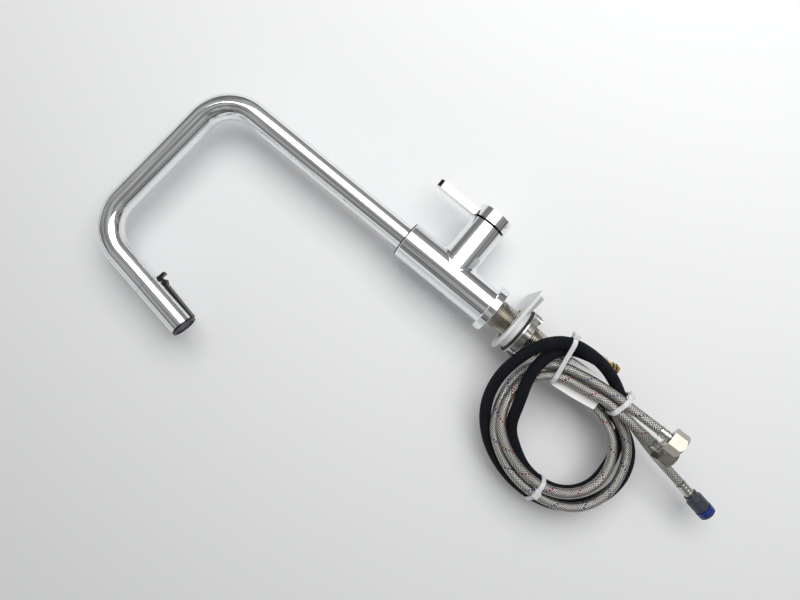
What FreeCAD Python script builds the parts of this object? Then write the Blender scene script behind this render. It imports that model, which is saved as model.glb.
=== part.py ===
import FreeCAD, Part
import math
import os
import Sketcher

# Pull-out kitchen faucet: a square-arc spout with a docked spray head, a side lever,
# a threaded shank with its clamp set, and four hoses tied in a coil. Millimetres.
# Origin at the centre of the base flange's underside, +Z up the riser, the lever on +X,
# the spout reaching out along -X.

doc = FreeCAD.newDocument("faucet")
sheet = doc.addObject("Spreadsheet::Sheet", "Sizes")
V = FreeCAD.Vector
X_AXIS, Y_AXIS, Z_AXIS = V(1, 0, 0), V(0, 1, 0), V(0, 0, 1)


class Size:
    """A length that knows its number and the sheet formula that gives it."""

    def __init__(self, formula, number):
        self.formula = formula
        self.number = number

    def join(self, other, sign, number):
        return Size("(%s %s %s)" % (self.formula, sign, text_of(other)), number)

    def __add__(self, other):
        return self.join(other, "+", self.number + value(other))

    def __sub__(self, other):
        return self.join(other, "-", self.number - value(other))

    def __mul__(self, other):
        return self.join(other, "*", self.number * value(other))

    def __truediv__(self, other):
        return self.join(other, "/", self.number / value(other))

    def __radd__(self, other):
        return self + other

    def __rmul__(self, other):
        return self * other

    def __rsub__(self, other):
        return Size("(%s - %s)" % (text_of(other), self.formula), value(other) - self.number)

    def __neg__(self):
        return Size("(0 - %s)" % self.formula, -self.number)


def value(length):
    return length.number if isinstance(length, Size) else float(length)


def text_of(length):
    return length.formula if isinstance(length, Size) else repr(float(length))


sheet_row = 0


def size(alias, number):
    """One driving dimension, kept in the sheet under its own name."""
    global sheet_row
    sheet_row += 1
    sheet.set("A%d" % sheet_row, alias)
    sheet.set("B%d" % sheet_row, str(number))
    sheet.setAlias("B%d" % sheet_row, alias)
    return Size("Sizes.%s" % alias, float(number))


def cosine(angle):
    return Size("cos(%s * 1 deg)" % angle.formula, math.cos(math.radians(angle.number)))


def sine(angle):
    return Size("sin(%s * 1 deg)" % angle.formula, math.sin(math.radians(angle.number)))


# Clearances
slip = size("slip", 0.05)
ease = size("ease", 0.3)

# Base flange and its seal
flange_r = size("flange_r", 25.7)
flange_thick = size("flange_thick", 9)
flange_bevel = size("flange_bevel", 0.8)
seal_inner_r = size("seal_inner_r", 18.5)
seal_outer_r = size("seal_outer_r", 24)
seal_thick = size("seal_thick", 2)

# Shank
shank_r = size("shank_r", 16)
shank_bore_r = size("shank_bore_r", 13)
shank_flat = size("shank_flat", 14)
shank_below = size("shank_below", 62)
shank_grip = size("shank_grip", 15)
shank_round = size("shank_round", 3)
shank_bevel = size("shank_bevel", 1)

# Body casting
body_r = size("body_r", 20)
body_top = size("body_top", 116)
body_bevel = size("body_bevel", 0.7)
cavity_r = size("cavity_r", 13.5)
cavity_deep = size("cavity_deep", 6)
channel_r = size("channel_r", 8.5)
socket_r = size("socket_r", 17)
socket_floor = size("socket_floor", 86)
branch_r = size("branch_r", 19)
branch_height = size("branch_height", 60)
branch_end = size("branch_end", 62.5)
branch_bore_r = size("branch_bore_r", 15.2)
branch_floor = size("branch_floor", 14)
branch_blend = size("branch_blend", 4)
port_r = size("port_r", 2.2)
port_side = size("port_side", 7.5)
port_out = size("port_out", 11)
port_drop = size("port_drop", 5)

# Spout
tube_r = size("tube_r", 13.5)
tube_wall = size("tube_wall", 1.5)
riser_start = size("riser_start", 88)
riser_corner = size("riser_corner", 360)
run_length = size("run_length", 195)
run_rise = size("run_rise", 4)
leg_length = size("leg_length", 140)
leg_flare = size("leg_flare", 8.5)
bend_r = size("bend_r", 42)
seat_ring_thick = size("seat_ring_thick", 1.2)
seat_ring_r = size("seat_ring_r", 19.2)
bush_height = size("bush_height", 10)
seal_section = size("seal_section", 1.6)
seal_pitch = size("seal_pitch", 4.5)

# Spray head, measured up the leg from its outlet
head_length = size("head_length", 57)
head_wall = size("head_wall", 1.6)
core_r = size("core_r", 11.7)
core_bore_r = size("core_bore_r", 5)
neck_r = size("neck_r", 7.8)
neck_length = size("neck_length", 15)
dock_bore_r = size("dock_bore_r", 8.1)
dock_length = size("dock_length", 18)
face_thick = size("face_thick", 4)
face_stand = size("face_stand", 0.8)
face_recess_r = size("face_recess_r", 10.8)
face_recess = size("face_recess", 1.6)
nozzle_ring_r = size("nozzle_ring_r", 8.4)
nozzle_r = size("nozzle_r", 0.75)
nozzle_count = 16
aerator_r = size("aerator_r", 5.6)
hose_nut_r = size("hose_nut_r", 7)
hose_nut_length = size("hose_nut_length", 8)
stub_length = size("stub_length", 19)
spine_half = size("spine_half", 4.6)
spine_seat = size("spine_seat", 10.2)
spine_foot = size("spine_foot", 14.1)
spine_head = size("spine_head", 15.6)
shell_start = size("shell_start", 1.5)
rim_step = size("rim_step", 0.2)
mat_thick = size("mat_thick", 0.8)
nozzle_stand = size("nozzle_stand", 0.5)
rocker_low = size("rocker_low", 43.5)
rocker_seat = size("rocker_seat", 11.2)
rocker_pin_out = size("rocker_pin_out", 12.9)
wedge_peak = size("wedge_peak", 48.2)
rocker_pivot = size("rocker_pivot", 49.5)
rocker_pin_r = size("rocker_pin_r", 1)
rocker_half = size("rocker_half", 3.4)
ear_reach = size("ear_reach", 21.5)
ear_thick = size("ear_thick", 2.8)
wedge_reach = size("wedge_reach", 18.2)
valve_r = size("valve_r", 4.6)
valve_length = size("valve_length", 14)

# Cartridge, handle and lever, measured out along the branch
cartridge_r = size("cartridge_r", 15)
cartridge_seat_thick = size("cartridge_seat_thick", 3)
cartridge_bore_r = size("cartridge_bore_r", 12.5)
cartridge_end = size("cartridge_end", 50)
disc_thick = size("disc_thick", 3.4)
disc_r = size("disc_r", 12.2)
cartridge_nut_length = size("cartridge_nut_length", 6)
gap_ring_thick = size("gap_ring_thick", 0.8)
gap_ring_r = size("gap_ring_r", 17.9)
cap_start = size("cap_start", 65)
cap_length = size("cap_length", 13.5)
cap_wall = size("cap_wall", 2.2)
cap_bevel = size("cap_bevel", 1)
carrier_plate_r = size("carrier_plate_r", 16.3)
carrier_plate_thick = size("carrier_plate_thick", 1.2)
pivot_out = size("pivot_out", 68)
pivot_drop = size("pivot_drop", 13)
lever_pin_r = size("lever_pin_r", 1.2)
ear_inner = size("ear_inner", 3.2)
ear_outer = size("ear_outer", 5)
ear_half = size("ear_half", 1.8)
stem_r = size("stem_r", 3)
stem_start = size("stem_start", 52)
stem_swing = size("stem_swing", 4.5)
lever_thick = size("lever_thick", 9.2)
lever_half = size("lever_half", 5.5)
lever_tip = size("lever_tip", 128)
lever_bevel = size("lever_bevel", 0.9)
lever_root = size("lever_root", 0.5)
screw_r = size("screw_r", 1.8)
screw_tilt = size("screw_tilt", 50)

# Clamp set on the shank
clamp_gap = size("clamp_gap", 20)
plate_thick = size("plate_thick", 3)
plate_hole_r = size("plate_hole_r", 17.9)
collar_r = size("collar_r", 22.4)
collar_height = size("collar_height", 7)
plate_round_r = size("plate_round_r", 28.8)
arm_reach = size("arm_reach", 50)
arm_tip_r = size("arm_tip_r", 4.5)
arm_spread = size("arm_spread", 43)
rib_half = size("rib_half", 1.1)
rib_height = size("rib_height", 4.5)
gasket_r = size("gasket_r", 25.3)
gasket_hole_r = size("gasket_hole_r", 16.8)
gasket_thick = size("gasket_thick", 2.5)
washer_r = size("washer_r", 25.7)
washer_hole_r = size("washer_hole_r", 17.4)
washer_thick = size("washer_thick", 1.5)
nut_r = size("nut_r", 19.8)
nut_height = size("nut_height", 8)
jack_circle_r = size("jack_circle_r", 21.4)
jack_lobe_r = size("jack_lobe_r", 4.4)
side_lobe_r = size("side_lobe_r", 5.6)
side_lobe_out = size("side_lobe_out", 17.2)
pocket_half = size("pocket_half", 3)
pocket_reach = size("pocket_reach", 18.6)
jack_r = size("jack_r", 2.4)
jack_head_r = size("jack_head_r", 3.8)
jack_head_height = size("jack_head_height", 2.6)

# Hoses and their ends
spray_hose_r = size("spray_hose_r", 6)
braid_hose_r = size("braid_hose_r", 4.75)
inner_hose_end = size("inner_hose_end", 40)
tail_r = size("tail_r", 2.1)
ferrule_r = size("ferrule_r", 5.4)
ferrule_length = size("ferrule_length", 14)
spray_ferrule_r = size("spray_ferrule_r", 6.5)
spray_ferrule_length = size("spray_ferrule_length", 12)
connector_stem_r = size("connector_stem_r", 4.3)
connector_stem_length = size("connector_stem_length", 17)
stem_flange_r = size("stem_flange_r", 5.3)
ring_section = size("ring_section", 0.8)
tailpiece_bore_r = size("tailpiece_bore_r", 2.8)
tailpiece_flange_r = size("tailpiece_flange_r", 7.9)
tail_flange_thick = size("tail_flange_thick", 2)
union_flats = size("union_flats", 10.5)
union_length = size("union_length", 14)
union_back = size("union_back", 3)
union_bore_r = size("union_bore_r", 8.3)
union_relief_r = size("union_relief_r", 8.7)
union_washer_thick = size("union_washer_thick", 2)
connector_r = size("connector_r", 8.6)
connector_neck_r = size("connector_neck_r", 6.8)
connector_length = size("connector_length", 27)
connector_socket_r = size("connector_socket_r", 5.5)
connector_socket = size("connector_socket", 16)
collar_band_length = size("collar_band_length", 5)
collar_band_r = size("collar_band_r", 8.9)
collar_travel = size("collar_travel", 1.2)
tie_width = size("tie_width", 4.6)
tie_thick = size("tie_thick", 1.2)
tie_head = size("tie_head", 7.5)
tie_head_high = size("tie_head_high", 4.5)
tag_thick = size("tag_thick", 0.4)

doc.recompute()


# Drawing helpers

def origin_plane(body, role):
    for feature in body.Origin.OriginFeatures:
        if feature.Role == role:
            return feature
    raise ValueError(role)


def new_body(label):
    body = doc.addObject("PartDesign::Body", label)
    body.Label = label
    return body


def new_sketch(body, name, role):
    sketch = body.newObject("Sketcher::SketchObject", body.Name + "_" + name)
    sketch.AttachmentSupport = [(origin_plane(body, role), "")]
    sketch.MapMode = "FlatFace"
    return sketch


def fix(sketch, kind, geometry, point, length, name):
    """Holds one coordinate of a sketch point at a sheet formula."""
    index = sketch.addConstraint(Sketcher.Constraint(kind, -1, 1, geometry, point, value(length)))
    sketch.renameConstraint(index, name)
    if isinstance(length, Size):
        sketch.setExpression("Constraints.%s" % name, text_of(length))


def polygon(sketch, points):
    """A closed outline whose corners all hang on the sheet."""
    count = len(points)
    first = sketch.GeometryCount
    for k in range(count):
        a, b = points[k], points[(k + 1) % count]
        sketch.addGeometry(Part.LineSegment(V(value(a[0]), value(a[1]), 0), V(value(b[0]), value(b[1]), 0)))
    for k in range(count):
        sketch.addConstraint(Sketcher.Constraint("Coincident", first + k, 2, first + (k + 1) % count, 1))
    for k in range(count):
        fix(sketch, "DistanceX", first + k, 1, points[k][0], "across%d_%d" % (first, k))
        fix(sketch, "DistanceY", first + k, 1, points[k][1], "along%d_%d" % (first, k))


def circle(sketch, across, along, radius):
    index = sketch.addGeometry(Part.Circle(V(value(across), value(along), 0), Z_AXIS, value(radius)))
    fix(sketch, "DistanceX", index, 3, across, "across%d" % index)
    fix(sketch, "DistanceY", index, 3, along, "along%d" % index)
    ring = sketch.addConstraint(Sketcher.Constraint("Radius", index, value(radius)))
    sketch.renameConstraint(ring, "radius%d" % index)
    if isinstance(radius, Size):
        sketch.setExpression("Constraints.radius%d" % index, text_of(radius))


def turn(body, name, points, cut=False):
    """Revolves an outline of (radius, height) points about the body's Z axis."""
    sketch = new_sketch(body, name + "_profile", "XZ_Plane")
    polygon(sketch, points)
    kind = "PartDesign::Groove" if cut else "PartDesign::Revolution"
    feature = body.newObject(kind, body.Name + "_" + name)
    feature.Profile = sketch
    feature.ReferenceAxis = (sketch, ["V_Axis"])
    feature.Angle = 360
    return feature


def extrude(body, name, role, draw, start, end, cut=False):
    """Pads or pockets a sketch from one offset of its plane to another."""
    sketch = new_sketch(body, name + "_sketch", role)
    sketch.AttachmentOffset = FreeCAD.Placement(V(0, 0, value(start)), FreeCAD.Rotation())
    sketch.setExpression(".AttachmentOffset.Base.z", text_of(start))
    draw(sketch)
    kind = "PartDesign::Pocket" if cut else "PartDesign::Pad"
    feature = body.newObject(kind, body.Name + "_" + name)
    feature.Profile = sketch
    feature.Length = value(end - start)
    feature.setExpression("Length", text_of(end - start))
    # A pocket runs against the sketch's normal, so it is turned round.
    feature.Reversed = cut
    return feature


def box_outline(low_x, low_y, high_x, high_y):
    return [(low_x, low_y), (high_x, low_y), (high_x, high_y), (low_x, high_y)]


def place(part, position=(0, 0, 0), axis=Y_AXIS, angle=None):
    """Sets a sub-part where sheet formulas say, turned by a sheet angle about one axis."""
    degrees = 0.0 if angle is None else value(angle)
    part.Placement = FreeCAD.Placement(V(*[value(c) for c in position]), FreeCAD.Rotation(axis, degrees))
    for letter, coordinate in zip("xyz", position):
        if isinstance(coordinate, Size):
            part.setExpression(".Placement.Base." + letter, text_of(coordinate))
    if isinstance(angle, Size):
        part.setExpression(".Placement.Rotation.Angle", "%s * 1 deg" % text_of(angle))


def turned(label, points, position=(0, 0, 0), angle=None):
    body = new_body(label)
    turn(body, "solid", points)
    place(body, position, Y_AXIS, angle)
    parts.append(body)
    return body


def ring_points(inner, outer, low, high):
    return [(inner, low), (outer, low), (outer, high), (inner, high)]


def shape_part(label, shape, placement=None):
    """A solid made with Part's own functions, with its place set afterwards."""
    part = doc.addObject("Part::Feature", label)
    part.Label = label
    part.Shape = shape
    if placement is not None:
        part.Placement = placement
    parts.append(part)
    return part


def n(length):
    return value(length)


parts = []
quarter_turn = size("quarter_turn", 90)

# Base flange with its bevelled rim, and the seal let into its underside
turned("base_flange", [
    (shank_r + ease, Size("0", 0)), (seal_inner_r, Size("0", 0)),
    (seal_inner_r, seal_thick), (seal_outer_r, seal_thick), (seal_outer_r, Size("0", 0)),
    (flange_r - flange_bevel, Size("0", 0)), (flange_r, flange_bevel),
    (flange_r, flange_thick - flange_bevel), (flange_r - flange_bevel, flange_thick),
    (shank_r + ease, flange_thick)])
turned("base_seal", ring_points(seal_inner_r + slip, seal_outer_r - slip, Size("0", 0), seal_thick))

# Threaded shank: a tube with two milled flats, screwed up into the casting
shank_top = flange_thick + shank_grip
shank = new_body("threaded_shank")
turn(shank, "solid", [
    (shank_bore_r, -shank_below), (shank_r - slip - shank_bevel, -shank_below),
    (shank_r - slip, shank_bevel - shank_below), (shank_r - slip, shank_top), (shank_bore_r, shank_top)])


def flat_cut(side):
    def draw(sketch):
        far = shank_r + 2
        if side > 0:
            polygon(sketch, box_outline(shank_flat, -far, far, far))
        else:
            polygon(sketch, box_outline(-far, -far, -shank_flat, far))
    return draw


for name, side in (("lever_flat", 1), ("spout_flat", -1)):
    extrude(shank, name, "XY_Plane", flat_cut(side), -shank_below - 1, -shank_round, cut=True)
parts.append(shank)

# Body casting: the upright barrel, the side branch and the bores
casting = new_body("body_casting")
turn(casting, "barrel", [
    (Size("0", 0), flange_thick), (body_r, flange_thick), (body_r, body_top - body_bevel),
    (body_r - body_bevel, body_top), (Size("0", 0), body_top)])
branch = extrude(casting, "branch", "YZ_Plane",
                 lambda sketch: circle(sketch, Size("0", 0), branch_height, branch_r),
                 Size("0", 0), branch_end)
doc.recompute()


def crossing_edges(shape):
    """The seam where the branch leaves the barrel."""
    names = []
    for index, edge in enumerate(shape.Edges, 1):
        middle = edge.BoundBox.Center
        reach = edge.BoundBox.XMax
        tall = edge.BoundBox.ZLength > n(branch_r) and edge.BoundBox.ZMax < n(body_top) - 1
        if tall and 1 < reach < n(branch_end) - 1 and abs(middle.z - n(branch_height)) < n(branch_r):
            names.append("Edge%d" % index)
    return names


blend = casting.newObject("PartDesign::Fillet", "body_casting_blend")
blend.Base = (branch, crossing_edges(branch.Shape))
blend.Radius = n(branch_blend)
blend.setExpression("Radius", text_of(branch_blend))
doc.recompute()

turn(casting, "channel", [
    (Size("0", 0), flange_thick - 1), (shank_r, flange_thick - 1), (shank_r, shank_top),
    (cavity_r, shank_top), (cavity_r, shank_top + cavity_deep), (channel_r, shank_top + cavity_deep),
    (channel_r, socket_floor), (socket_r, socket_floor), (socket_r, body_top + 1),
    (Size("0", 0), body_top + 1)], cut=True)
extrude(casting, "branch_bore", "YZ_Plane",
        lambda sketch: circle(sketch, Size("0", 0), branch_height, branch_bore_r),
        branch_floor, branch_end + 1, cut=True)
for name, side in (("hot_port", -1), ("cold_port", 1)):
    extrude(casting, name, "XY_Plane",
            lambda sketch, side=side: circle(sketch, port_out, port_side * side, port_r),
            shank_top + cavity_deep - 1, branch_height - port_drop, cut=True)
    extrude(casting, name + "_out", "YZ_Plane",
            lambda sketch, side=side: circle(sketch, port_side * side, branch_height - port_drop, port_r),
            port_out, branch_floor + 1, cut=True)
parts.append(casting)

# Swivel seat of the spout: top ring, two bushes and two seals between them
turned("spout_seat_ring", ring_points(tube_r + ease, seat_ring_r, body_top, body_top + seat_ring_thick))


def tube_solid(inner, outer, low, high):
    outer_part = Part.makeCylinder(n(outer), n(high) - n(low), V(0, 0, n(low)))
    return outer_part.cut(Part.makeCylinder(n(inner), n(high) - n(low), V(0, 0, n(low))))


bush_floors = (riser_start, body_top - bush_height)
bushes = [tube_solid(tube_r + slip, socket_r - slip, floor, floor + bush_height) for floor in bush_floors]
shape_part("swivel_bushes", Part.makeCompound(bushes))
seal_middle = (riser_start + body_top) / 2
seal_rings = [Part.makeTorus(n(tube_r + slip + seal_section), n(seal_section),
                             V(0, 0, n(seal_middle) + side * n(seal_pitch) / 2)) for side in (-1, 1)]
shape_part("swivel_seals", Part.makeCompound(seal_rings))


# Routes: straight runs joined by tangent arcs

def rounded_path(points, radius=None):
    """A wire through the points; a corner takes 0.45 of its shorter run, or the given radius."""
    points = [V(*point) for point in points]
    edges = []
    radii = []
    here = points[0]
    for before, corner, after in zip(points, points[1:], points[2:]):
        back, ahead = before - corner, after - corner
        shorter = min(back.Length, ahead.Length)
        back.normalize()
        ahead.normalize()
        half_turn = (math.pi - back.getAngle(ahead)) / 2
        trim = 0.45 * shorter if radius is None else radius * math.tan(half_turn)
        bend = trim / math.tan(half_turn)
        radii.append(bend)
        start, end = corner + back * trim, corner + ahead * trim
        inward = (back + ahead).normalize()
        middle = corner + inward * (bend / math.cos(half_turn) - bend)
        edges.append(Part.LineSegment(here, start).toShape())
        edges.append(Part.Arc(start, middle, end).toShape())
        here = end
    edges.append(Part.LineSegment(here, points[-1]).toShape())
    return Part.Wire(edges), radii


def swept(points, radius, bend=None):
    """A round bar along a route, as one solid."""
    path, radii = rounded_path(points, bend)
    start = V(*points[0])
    ring = Part.Wire([Part.makeCircle(n(radius), start, V(*points[1]) - start)])
    bar = path.makePipeShell([ring], True, False)
    ideal = math.pi * n(radius) ** 2 * path.Length
    if not bar.isValid() or abs(bar.Volume / ideal - 1) > 0.01:
        raise ValueError("a route does not sweep cleanly")
    return bar, radii, path.Length


# Square-arc spout: riser, rising run and flared leg
corner_x = -(run_length * cosine(run_rise))
corner_z = riser_corner + run_length * sine(run_rise)
outlet_x = corner_x - leg_length * sine(leg_flare)
outlet_z = corner_z - leg_length * cosine(leg_flare)


def on_leg(up):
    """A point on the leg's centre line, so far up from the outlet."""
    tilt = math.radians(n(leg_flare))
    return (n(outlet_x) + n(up) * math.sin(tilt), 0, n(outlet_z) + n(up) * math.cos(tilt))


def leg_place(part):
    place(part, (outlet_x, 0, outlet_z), Y_AXIS, leg_flare)


corners = [(0, 0, n(riser_corner)), (n(corner_x), 0, n(corner_z))]
spout_route = [(0, 0, n(riser_start))] + corners + [on_leg(head_length)]
spout_outside = swept(spout_route, tube_r, n(bend_r))[0]
spout_inside = swept(spout_route, tube_r - tube_wall, n(bend_r))[0]
shape_part("spout_tube", spout_outside.cut(spout_inside))

neck_top = head_length + neck_length
nut_top = neck_top + hose_nut_length
stub_top = nut_top + stub_length
inner_route = [(0, 0, n(socket_floor))] + corners + [on_leg(stub_top)]
shape_part("hose_in_spout", swept(inner_route, spray_hose_r, n(bend_r))[0])
leg_place(turned("dock_liner", ring_points(dock_bore_r, tube_r - tube_wall - slip, head_length,
                                           head_length + dock_length)))

# Spray head: shell, core with its docking neck, spine, rocker and outlet face
spine_slot = spine_half + slip


def slot_outline(inner):
    return lambda sketch: polygon(sketch, box_outline(inner, -spine_slot, tube_r + 3, spine_slot))


head_shell = turned("head_shell", ring_points(tube_r - head_wall, tube_r, shell_start, head_length - ease))
extrude(head_shell, "spine_slot", "XY_Plane", slot_outline(spine_seat), shell_start - 1, head_length + 1,
        cut=True)
leg_place(head_shell)
core_floor = face_thick + slip
head_core = turned("head_core", [
    (core_bore_r, core_floor), (core_r, core_floor), (core_r, head_length - ease),
    (neck_r, head_length - ease), (neck_r, neck_top), (core_bore_r, neck_top)])
extrude(head_core, "spine_flat", "XY_Plane", slot_outline(spine_seat - slip), face_thick, head_length + 1,
        cut=True)
leg_place(head_core)


def spine_side(sketch):
    polygon(sketch, [(spine_seat, core_floor), (core_r + ease, core_floor), (core_r + ease, shell_start),
                     (spine_foot, shell_start), (spine_head, rocker_low - ease),
                     (spine_seat, rocker_low - ease)])


def rocker_side(sketch):
    rocker_top = head_length - ease * 2
    ear_floor = rocker_top - ear_thick
    polygon(sketch, [(rocker_seat, rocker_low), (spine_head, rocker_low),
                     (wedge_reach, wedge_peak), (spine_head, ear_floor - 1.6), (spine_head, ear_floor),
                     (ear_reach, ear_floor), (ear_reach, rocker_top), (rocker_seat, rocker_top)])


def across_leg(label, draw, half):
    """A piece drawn on the leg's side plane, as wide to the one side as to the other."""
    body = new_body(label)
    extrude(body, "side", "XZ_Plane", draw, -half, half)
    parts.append(body)
    leg_place(body)
    return body


across_leg("head_spine", spine_side, spine_half)
rocker = across_leg("rocker", rocker_side, rocker_half)
extrude(rocker, "pin_hole", "XZ_Plane",
        lambda sketch: circle(sketch, rocker_pin_out, rocker_pivot, rocker_pin_r + slip),
        -rocker_half - 1, rocker_half + 1, cut=True)
across_leg("rocker_pin", lambda sketch: circle(sketch, rocker_pin_out, rocker_pivot, rocker_pin_r),
           spine_half)

rim_r = tube_r - rim_step
leg_place(turned("spray_face", [
    (aerator_r + slip, face_recess - face_stand), (face_recess_r, face_recess - face_stand),
    (face_recess_r, -face_stand), (rim_r, -face_stand), (rim_r, shell_start - slip),
    (core_r, shell_start - slip), (core_r, face_thick), (aerator_r + slip, face_thick)]))
mat_floor = face_recess - face_stand - mat_thick


def nozzles(sketch):
    for k in range(nozzle_count):
        bearing = 2 * math.pi * k / nozzle_count
        circle(sketch, nozzle_ring_r * math.cos(bearing), nozzle_ring_r * math.sin(bearing), nozzle_r)


nozzle_mat = turned("nozzle_mat", ring_points(aerator_r + ease, face_recess_r - slip, mat_floor,
                                              mat_floor + mat_thick))
extrude(nozzle_mat, "nozzles", "XY_Plane", nozzles, mat_floor - nozzle_stand, mat_floor + mat_thick / 2)
leg_place(nozzle_mat)
leg_place(turned("aerator", ring_points(Size("0", 0), aerator_r, mat_floor, face_thick)))
valve_top = neck_top - 2
leg_place(turned("check_valve", ring_points(valve_r / 2, core_bore_r - slip, valve_top - valve_length,
                                            valve_top)))
leg_place(turned("head_hose_nut", ring_points(tail_r, hose_nut_r, neck_top, nut_top)))
leg_place(turned("hose_in_head", ring_points(Size("0", 0), spray_hose_r, nut_top, stub_top)))

# Cartridge in the branch; its pieces are drawn upright and laid along +X, local X pointing down


def lay_along(part):
    place(part, (0, 0, branch_height), Y_AXIS, quarter_turn)


def along_branch(label, points):
    body = turned(label, points)
    lay_along(body)
    return body


seat_top = branch_floor + cartridge_seat_thick
along_branch("cartridge_seat", ring_points(port_r, cartridge_r, branch_floor, seat_top))
disc_floor = seat_top + 1
along_branch("cartridge_body", [
    (port_r, seat_top), (cartridge_r, seat_top), (cartridge_r, cartridge_end),
    (cartridge_bore_r, cartridge_end), (cartridge_bore_r, disc_floor), (port_r, disc_floor)])
moving_floor = disc_floor + disc_thick
along_branch("fixed_disc", ring_points(port_r, disc_r, disc_floor, moving_floor))
carrier_floor = moving_floor + disc_thick
along_branch("moving_disc", ring_points(port_r, disc_r, moving_floor + slip, carrier_floor))
nut_end = cartridge_end + cartridge_nut_length
along_branch("cartridge_nut", ring_points(cartridge_bore_r, cartridge_r + slip * 2, cartridge_end, nut_end))
along_branch("handle_gap_ring", ring_points(carrier_plate_r + slip * 2, gap_ring_r, branch_end,
                                            branch_end + gap_ring_thick))

# Stem carrier: turns with the lever; the stem tips in its slot and the lever on its pin
plate_floor = branch_end + slip * 2
plate_face = plate_floor + carrier_plate_thick
carrier = along_branch("stem_carrier", [
    (Size("0", 0), carrier_floor), (cartridge_bore_r - slip, carrier_floor),
    (cartridge_bore_r - slip, plate_floor), (carrier_plate_r, plate_floor),
    (carrier_plate_r, plate_face), (Size("0", 0), plate_face)])
gap = stem_r + ease
extrude(carrier, "slot", "XY_Plane",
        lambda sketch: polygon(sketch, box_outline(-gap - stem_swing, -gap, gap, gap)),
        stem_start - 1, plate_face + 1, cut=True)
for name, low, high in (("ear_near", -ear_outer, -ear_inner), ("ear_far", ear_inner, ear_outer)):
    extrude(carrier, name, "XY_Plane",
            lambda sketch, low=low, high=high: polygon(
                sketch, box_outline(pivot_drop - ear_half, low, pivot_drop + ear_half, high)),
            plate_floor, pivot_out + ear_half)
extrude(carrier, "pin_hole", "XZ_Plane", lambda sketch: circle(sketch, pivot_drop, pivot_out, lever_pin_r),
        -ear_outer - 1, ear_outer + 1, cut=True)
lever_pin = new_body("lever_pin")
extrude(lever_pin, "pin", "XZ_Plane", lambda sketch: circle(sketch, pivot_drop, pivot_out, lever_pin_r),
        -ear_outer, ear_outer)
parts.append(lever_pin)
lay_along(lever_pin)

# Handle cap with its hinge boss and stem boss, the lever bar, the stem and the set screw
cap_end = cap_start + cap_length
cap_floor = cap_end - cap_wall
cap_bore_r = branch_r - cap_wall
lever_low = branch_end + lever_root
lever_high = lever_low + lever_thick
cap = along_branch("handle_cap", [
    (cap_bore_r, cap_start), (branch_r, cap_start), (branch_r, cap_end - cap_bevel),
    (branch_r - cap_bevel, cap_end), (Size("0", 0), cap_end), (Size("0", 0), cap_floor),
    (cap_bore_r, cap_floor)])
boss_half = ear_inner - ease
extrude(cap, "hinge_boss", "XY_Plane",
        lambda sketch: polygon(sketch, box_outline(pivot_drop - ear_half, -boss_half,
                                                   pivot_drop + ear_half, boss_half)),
        pivot_out - ear_half, cap_floor + 1)
extrude(cap, "stem_boss", "XY_Plane",
        lambda sketch: circle(sketch, Size("0", 0), Size("0", 0), stem_r + 2), cap_floor - 5, cap_floor + 1)
extrude(cap, "stem_hole", "XY_Plane",
        lambda sketch: circle(sketch, Size("0", 0), Size("0", 0), stem_r), cap_floor - 6, cap_floor, cut=True)
extrude(cap, "hinge_hole", "XZ_Plane",
        lambda sketch: circle(sketch, pivot_drop, pivot_out, lever_pin_r + slip),
        -ear_inner, ear_inner, cut=True)
extrude(cap, "lever_slot", "XY_Plane",
        lambda sketch: polygon(sketch, box_outline(-branch_r - 1, -lever_half, -cap_bore_r + 1, lever_half)),
        cap_start - 1, lever_high, cut=True)
screw_lean = math.radians(n(screw_tilt))
screw_sketch = new_sketch(cap, "screw_sketch", "XZ_Plane")
screw_base = V(math.sin(screw_lean), 0, math.cos(screw_lean)) * (n(cap_bore_r) - 2)
screw_sketch.AttachmentOffset = FreeCAD.Placement(screw_base, FreeCAD.Rotation(Y_AXIS, n(screw_tilt)))
circle(screw_sketch, Size("0", 0), cap_start + cap_length / 2, screw_r)
screw_hole = cap.newObject("PartDesign::Pocket", "handle_cap_screw_hole")
screw_hole.Profile = screw_sketch
screw_hole.Length = n(cap_wall) + 3
screw_hole.Reversed = True
screw_way = V(math.sin(screw_lean), -math.cos(screw_lean), 0)
screw_start = screw_way * n(cap_bore_r) + V(0, 0, n(cap_start + cap_length / 2))
shape_part("handle_set_screw", Part.makeCylinder(n(screw_r), n(cap_wall) - 0.4, screw_start, screw_way),
           FreeCAD.Placement(V(0, 0, n(branch_height)), FreeCAD.Rotation(Y_AXIS, 90)))

lever = new_body("lever_bar")
lever_foot = branch_height + cap_bore_r - 1 + slip
lever_skirt = branch_height + branch_r + lever_root


def lever_front(sketch):
    polygon(sketch, [(cap_start, lever_foot), (lever_high, lever_foot), (lever_high, lever_tip),
                     (lever_low, lever_tip - 1.2), (lever_low, lever_skirt), (cap_start, lever_skirt)])


bar = extrude(lever, "bar", "XZ_Plane", lever_front, slip - lever_half, lever_half - slip)
doc.recompute()
long_edges = ["Edge%d" % k for k, edge in enumerate(bar.Shape.Edges, 1)
              if edge.BoundBox.ZLength > (n(lever_tip) - n(lever_foot)) / 2]
lever_round = lever.newObject("PartDesign::Fillet", "lever_bar_round")
lever_round.Base = (bar, long_edges)
lever_round.Radius = n(lever_bevel)
lever_round.setExpression("Radius", text_of(lever_bevel))
parts.append(lever)
along_branch("valve_stem", ring_points(Size("0", 0), stem_r, stem_start, cap_floor))

# Clamp set: support plate, gasket, washer, lobed nut and its two jack screws
plate_low = -(clamp_gap + plate_thick)
collar_low = plate_low - collar_height


def disc(radius, low, high, across=0.0, along=0.0):
    return Part.makeCylinder(n(radius), n(high) - n(low), V(n(across), n(along), n(low)))


def arm_tip(side):
    bearing = side * math.radians(n(arm_spread))
    return V(math.cos(bearing) * n(arm_reach), math.sin(bearing) * n(arm_reach), n(plate_low))


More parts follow.
